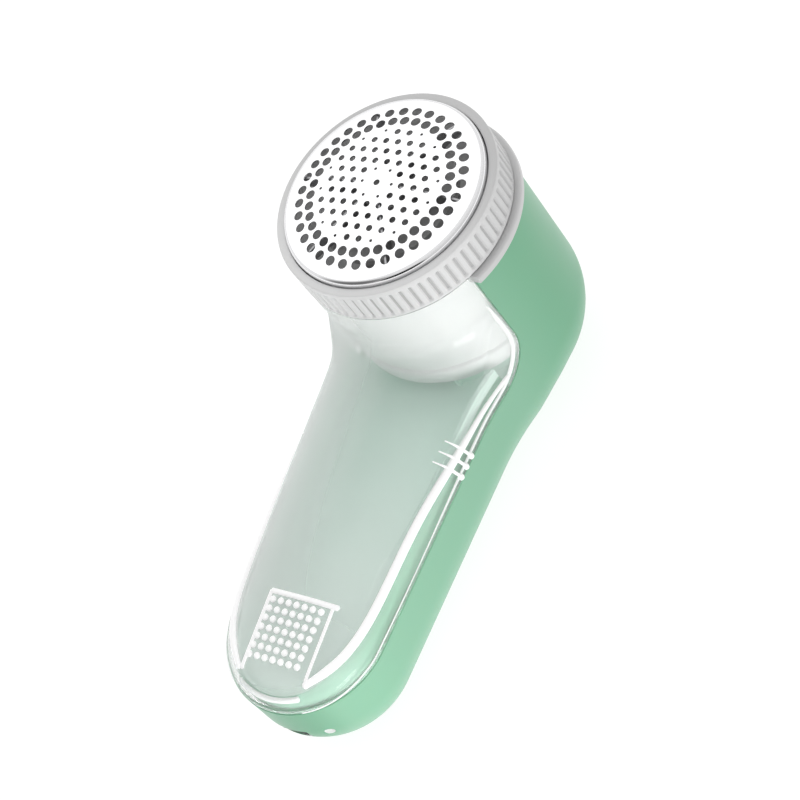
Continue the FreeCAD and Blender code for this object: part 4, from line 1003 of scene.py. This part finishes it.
def knurled_ring():
    """The ring's outline is turned about the axis, and fine grooves are let into its wall."""
    low, high = RING_LOW[2], RING_HIGH[2]
    lip_low = FOIL_LOW[2] + 0.6
    outline = ([(RING_INNER, low), (RING_R - 0.3, low), (RING_R - 0.08, low + 0.08), (RING_R, low + 0.3)]
               + [(RING_R, z) for z in np.linspace(KNURL_LOW - 0.3, KNURL_HIGH + 0.3, 30)]
               + [(RING_R, high - 0.38), (RING_R - 0.06, high - 0.2), (RING_R - 0.2, high - 0.06),
                  (RING_R - 0.4, high), (RING_LIP + 0.9, high), (RING_LIP + 0.3, high - 0.02),
                  (RING_LIP + 0.08, high - 0.1), (RING_LIP, high - 0.3), (RING_LIP, lip_low),
                  (RING_INNER, lip_low)])
    item = lathe("screw_ring", outline, KNURL_RIBS * RIB_SAMPLES)
    points = np.array([v.co for v in item.data.vertices]) / MM
    x, y, z = points.T
    angle = np.arctan2(y - HEAD_Y, x)
    pitch = 2 * math.pi * RING_R / KNURL_RIBS
    from_groove = np.abs(((angle / (2 * math.pi) * KNURL_RIBS) % 1.0) - 0.5) * pitch
    groove = 1 - ease(GROOVE_FLAT, GROOVE_EDGE, from_groove)
    within = ease(KNURL_LOW - 0.15, KNURL_LOW + 0.3, z) * (1 - ease(KNURL_HIGH - 0.3, KNURL_HIGH + 0.15, z))
    radius = np.hypot(x, y - HEAD_Y)
    wall = radius - np.where(radius > RING_R - 0.02, groove * within * GROOVE_DEPTH, 0)
    points[:, 0] = wall * np.cos(angle)
    points[:, 1] = HEAD_Y + wall * np.sin(angle)
    item.data.vertices.foreach_set("co", (points * MM).astype(np.float32).ravel())
    item.data.update()
    return baked(item, 50)


def in_groove(x, y, z):
    """The bottoms of the grooves, which are painted darker as shade."""
    depth = RING_R - np.hypot(x, y - HEAD_Y)
    return (abs(z - (KNURL_LOW + KNURL_HIGH) / 2) < 4.0) & (abs(depth - GROOVE_DEPTH) < 0.06 * GROOVE_DEPTH)


screw_ring = piece(knurled_ring(), "ring", "ring", "grey_plastic", "knurled_ring")
# Painted shade: the bottoms of the knurl's grooves take the darker grey.
second_tone(screw_ring, "groove", in_groove)

# ---- foil

FOIL_TOP = FOIL_HIGH[2]
FOIL_SPHERE = 124.0
FOIL_THICK = 0.35
FOIL_WALL_R = 27.1
FOIL_SHOULDER = 1.4
FIELD_R = 24.2
FIELD_SIDES, HOLE_SIDES, TINY_SIDES = 360, 36, 20
GRID_STEP = 0.8
RING_HOLES, RING_HOLE_R = 36, 1.3
RING_PHASE = math.radians(0.5)
HOLE_CIRCLES = ((22.2, RING_PHASE), (19.05, RING_PHASE + math.radians(5.6)))
LATTICE_PITCH, LATTICE_STEPS = 3.55, 5
LATTICE_TURN = math.radians(0.9)
LATTICE_HOLE_R, TINY_HOLE_R = 0.85, 0.42


def foil_holes():
    """Every hole as (x, y, radius): two rings, then the triangular lattice inside them."""
    for circle, phase in HOLE_CIRCLES:
        for index in range(RING_HOLES):
            angle = phase + math.radians(360 / RING_HOLES * index)
            yield circle * math.cos(angle), circle * math.sin(angle), RING_HOLE_R
    yield 0.0, 0.0, LATTICE_HOLE_R
    steps = range(-LATTICE_STEPS, LATTICE_STEPS + 1)
    for first, second in ((f, s) for f in steps for s in steps):
        ring = max(abs(first), abs(second), abs(first + second))
        steps_in = min(abs(first), abs(second), abs(first + second))
        outermost = ring == LATTICE_STEPS
        if not 1 <= ring <= LATTICE_STEPS or (outermost and steps_in == 0):
            continue
        tiny = ring == 1 or (outermost and steps_in == 1)
        out = LATTICE_PITCH * (1.22 if ring == 1 else 1.0)
        a, b = (first + second / 2) * out, second * math.sqrt(3) / 2 * out
        yield (a * math.cos(LATTICE_TURN) - b * math.sin(LATTICE_TURN),
               a * math.sin(LATTICE_TURN) + b * math.cos(LATTICE_TURN),
               TINY_HOLE_R if tiny else LATTICE_HOLE_R)


def foil_screen():
    """The perforated field is triangulated flat and lifted onto the dome; plain rings finish the rim."""
    holes = list(foil_holes())
    flat, edges = [], []

    def add_loop(points):
        start = len(flat)
        flat.extend(points)
        edges.extend((start + i, start + (i + 1) % len(points)) for i in range(len(points)))

    add_loop(circle_points(0, 0, FIELD_R, FIELD_SIDES))
    for x, y, radius in holes:
        add_loop(circle_points(x, y, radius, TINY_SIDES if radius == TINY_HOLE_R else HOLE_SIDES))
    centres = np.array([(x, y) for x, y, _ in holes])
    radii = np.array([radius for _, _, radius in holes])
    row_step = GRID_STEP * math.sqrt(3) / 2
    for row in np.arange(-FIELD_R, FIELD_R, row_step):
        shift = GRID_STEP / 2 * (round(row / row_step) % 2)
        for column in np.arange(-FIELD_R, FIELD_R, GRID_STEP) + shift:
            clear = np.hypot(centres[:, 0] - column, centres[:, 1] - row) - radii
            if math.hypot(column, row) < FIELD_R - 0.5 and clear.min() > 0.4:
                flat.append((column, row))
    points, _, faces, *_ = delaunay_2d_cdt([Vector(p) for p in flat], edges, [], 1, 1e-5)
    points = np.array([tuple(p) for p in points])
    kept = []
    for face in faces:
        middle = points[list(face)].mean(0)
        if (np.hypot(centres[:, 0] - middle[0], centres[:, 1] - middle[1]) - radii * 0.98).min() > 0:
            kept.append(tuple(face))
    centre_z = FOIL_TOP - FOIL_SPHERE
    level = centre_z + np.sqrt(FOIL_SPHERE ** 2 - (points ** 2).sum(1))
    solid = np.column_stack([points[:, 0], points[:, 1] + HEAD_Y, level])

    shoulder_r = FOIL_WALL_R - FOIL_SHOULDER
    shoulder_z = centre_z + math.sqrt((FOIL_SPHERE - FOIL_SHOULDER) ** 2 - shoulder_r ** 2)
    lean = math.atan2(shoulder_z - centre_z, shoulder_r)
    rows = [(r, centre_z + math.sqrt(FOIL_SPHERE ** 2 - r ** 2)) for r in (FIELD_R, 24.7, 25.2)]
    rows += [(shoulder_r + FOIL_SHOULDER * math.cos(a), shoulder_z + FOIL_SHOULDER * math.sin(a))
             for a in np.linspace(lean, 0, 16)]
    flange_top = FOIL_LOW[2] + FOIL_THICK
    rows += [(FOIL_WALL_R, flange_top + 0.5), (FOIL_WALL_R + 0.08, flange_top + 0.12),
             (FOIL_WALL_R + 0.3, flange_top), (FOIL_HIGH[0], flange_top)]
    outer = [(x, y, height) for radius, height in rows
             for x, y in circle_points(0, HEAD_Y, radius, FIELD_SIDES)]
    for row in range(len(rows) - 1):
        start = len(solid) + row * FIELD_SIDES
        for index in range(FIELD_SIDES):
            this, following = start + index, start + (index + 1) % FIELD_SIDES
            kept.append((this, this + FIELD_SIDES, following + FIELD_SIDES, following))
    item = mesh_object("foil", np.vstack([solid, outer]), kept)
    outward(item, 2e-6, upward=True)
    return baked(thicken(item, FOIL_THICK), 30)


piece(foil_screen(), "foil", "foil", "foil_steel", "foil_screen")

# ---- CAD nodes that show as they are, and the chamber's lip

CARRIED = {
    "white": "cutter_chamber", "deck": "lint_duct",
    "steel": "motor_can motor_screws motor_shaft motor_armature cutter_spring battery_contacts "
             "usb_socket slide_switch housing_screws chamber_screws",
    "black": "motor_endcap battery_holder", "ferrite": "motor_magnets",
    "bronze": "motor_bushings shaft_collar", "rubber": "motor_cushion", "copper": "commutator",
    "dark": "suction_fan cutter_hub", "blade": "cutter_blades", "wrap": "battery_cell",
    "board": "circuit_board", "frost": "charge_light", "collar": "switch_slider",
    "felt": "shaft_seal", "wire": "battery_leads motor_leads",
}
for material, nodes in CARRIED.items():
    for node in nodes.split():
        paint(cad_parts[node], material)

CHAMBER_FLOOR = node_box("lint_duct")[1][2]
LIP_PROFILE = ((-0.2, 0.0), (0.5, 0.0), (0.85, 0.5), (0.9, 4.6), (0.6, 5.2), (-0.2, 5.6))
lip = lathe("chamber_lip", [(CHAMBER_R + out, CHAMBER_FLOOR + up) for out, up in LIP_PROFILE],
            start=190, sweep=160)
piece(baked(lip, 50), "white", "housing", "white_plastic")

# ---- floor, light and camera

FLOOR_HALF = 3.0
BRIGHT_SIDE = Vector((-0.57, 0.33, 0.75)).normalized()
DARK_SIDE = Vector((-0.35, -0.83, 0.43)).normalized()
DARK_CARD = Vector((0.42, -0.87, 0.24)).normalized()
SKY_LOW, SKY_HIGH, KEY_GLOW = 0.62, 0.88, 0.5
DARK_SIDE_SHARE, DARK_CARD_SHARE = 0.2, 0.05
END_LIGHT, END_TARGET = (0.14, -0.15, 0.032), (0.018, -0.062, 0.014)
CAMERA_LENS, CAMERA_PLACE = 110.95, (0.35148, -0.19198, 0.49670)
CAMERA_RIGHT = (0.80397, 0.40889, -0.43178)
CAMERA_UP = (-0.16710, 0.85217, 0.49586)
CAMERA_BACK = (0.57071, -0.32651, 0.75345)


def floor():
    """A white paper floor that glows a little, so that only soft contact shadows show."""
    corners = [(-1, -1, 0), (1, -1, 0), (1, 1, 0), (-1, 1, 0)]
    item = mesh_object("floor", np.array(corners) * FLOOR_HALF / MM, [(0, 1, 2, 3)], smooth=False)
    nodes = Nodes("floor_paper")
    tone = nodes.noise(3.0, 2.0)
    nodes.link(nodes.ramp(tone, [(0.3, grey(0.24)), (0.7, grey(0.26))]), nodes.shader.inputs["Base Color"])
    nodes.set(Roughness=0.9, Emission_Color=WHITE_GLOW, Emission_Strength=0.85)
    item.data.materials.append(nodes.material)


def studio():
    """A bright tent: strongest over the left shoulder, with two darker patches in front."""
    world = bpy.data.worlds.new("studio")
    bpy.context.scene.world = world
    world.use_nodes = True
    tree = world.node_tree
    background = tree.nodes["Background"]
    background.inputs["Color"].default_value = (1, 1, 1, 1)
    where = tree.nodes.new("ShaderNodeTexCoord").outputs["Generated"]

    def toward(direction):
        node = tree.nodes.new("ShaderNodeVectorMath")
        node.operation = "DOT_PRODUCT"
        node.inputs[1].default_value = direction
        tree.links.new(where, node.inputs[0])
        return node.outputs["Value"]

    def scaled(value, *numbers):
        node = tree.nodes.new("ShaderNodeMapRange")
        node.interpolation_type = "SMOOTHSTEP"
        for name, number in zip(("From Min", "From Max", "To Min", "To Max"), numbers):
            node.inputs[name].default_value = number
        tree.links.new(value, node.inputs["Value"])
        return node.outputs["Result"]

    def joined(operation, first, second):
        node = tree.nodes.new("ShaderNodeMath")
        node.operation = operation
        tree.links.new(first, node.inputs[0])
        tree.links.new(second, node.inputs[1])
        return node.outputs["Value"]

    sky = joined("ADD", scaled(toward(BRIGHT_SIDE), -1.0, 1.0, SKY_LOW, SKY_HIGH),
                 scaled(toward(BRIGHT_SIDE), 0.78, 0.97, 0.0, KEY_GLOW))
    strength = joined("MULTIPLY", sky, scaled(toward(DARK_SIDE), 0.80, 0.99, 1.0, DARK_SIDE_SHARE))
    strength = joined("MULTIPLY", strength, scaled(toward(DARK_CARD), 0.90, 0.96, 1.0, DARK_CARD_SHARE))
    tree.links.new(strength, background.inputs["Strength"])


def soft_box(name, place, target, width, height, power):
    """A small lamp that lights the handle's end and shows in no reflection."""
    light = bpy.data.lights.new(name, "AREA")
    light.shape = "RECTANGLE"
    light.size, light.size_y, light.energy = width, height, power
    item = bpy.data.objects.new(name, light)
    item.location = place
    item.visible_glossy = False
    item.rotation_euler = (Vector(target) - Vector(place)).to_track_quat("-Z", "Y").to_euler()
    bpy.context.scene.collection.objects.link(item)


def camera():
    """A long lens, looking down on the foil from beside the handle's end."""
    data = bpy.data.cameras.new("camera")
    data.lens, data.sensor_width = CAMERA_LENS, 36.0
    data.clip_start, data.clip_end = 0.01, 20.0
    item = bpy.data.objects.new("camera", data)
    turn = Matrix((CAMERA_RIGHT, CAMERA_UP, CAMERA_BACK)).transposed()
    item.matrix_world = Matrix.Translation(CAMERA_PLACE) @ turn.to_4x4()
    bpy.context.scene.collection.objects.link(item)
    bpy.context.scene.camera = item


floor()
studio()
soft_box("end", END_LIGHT, END_TARGET, 0.08, 0.05, 0.12)
camera()
bpy.context.scene.view_settings.view_transform = "Standard"
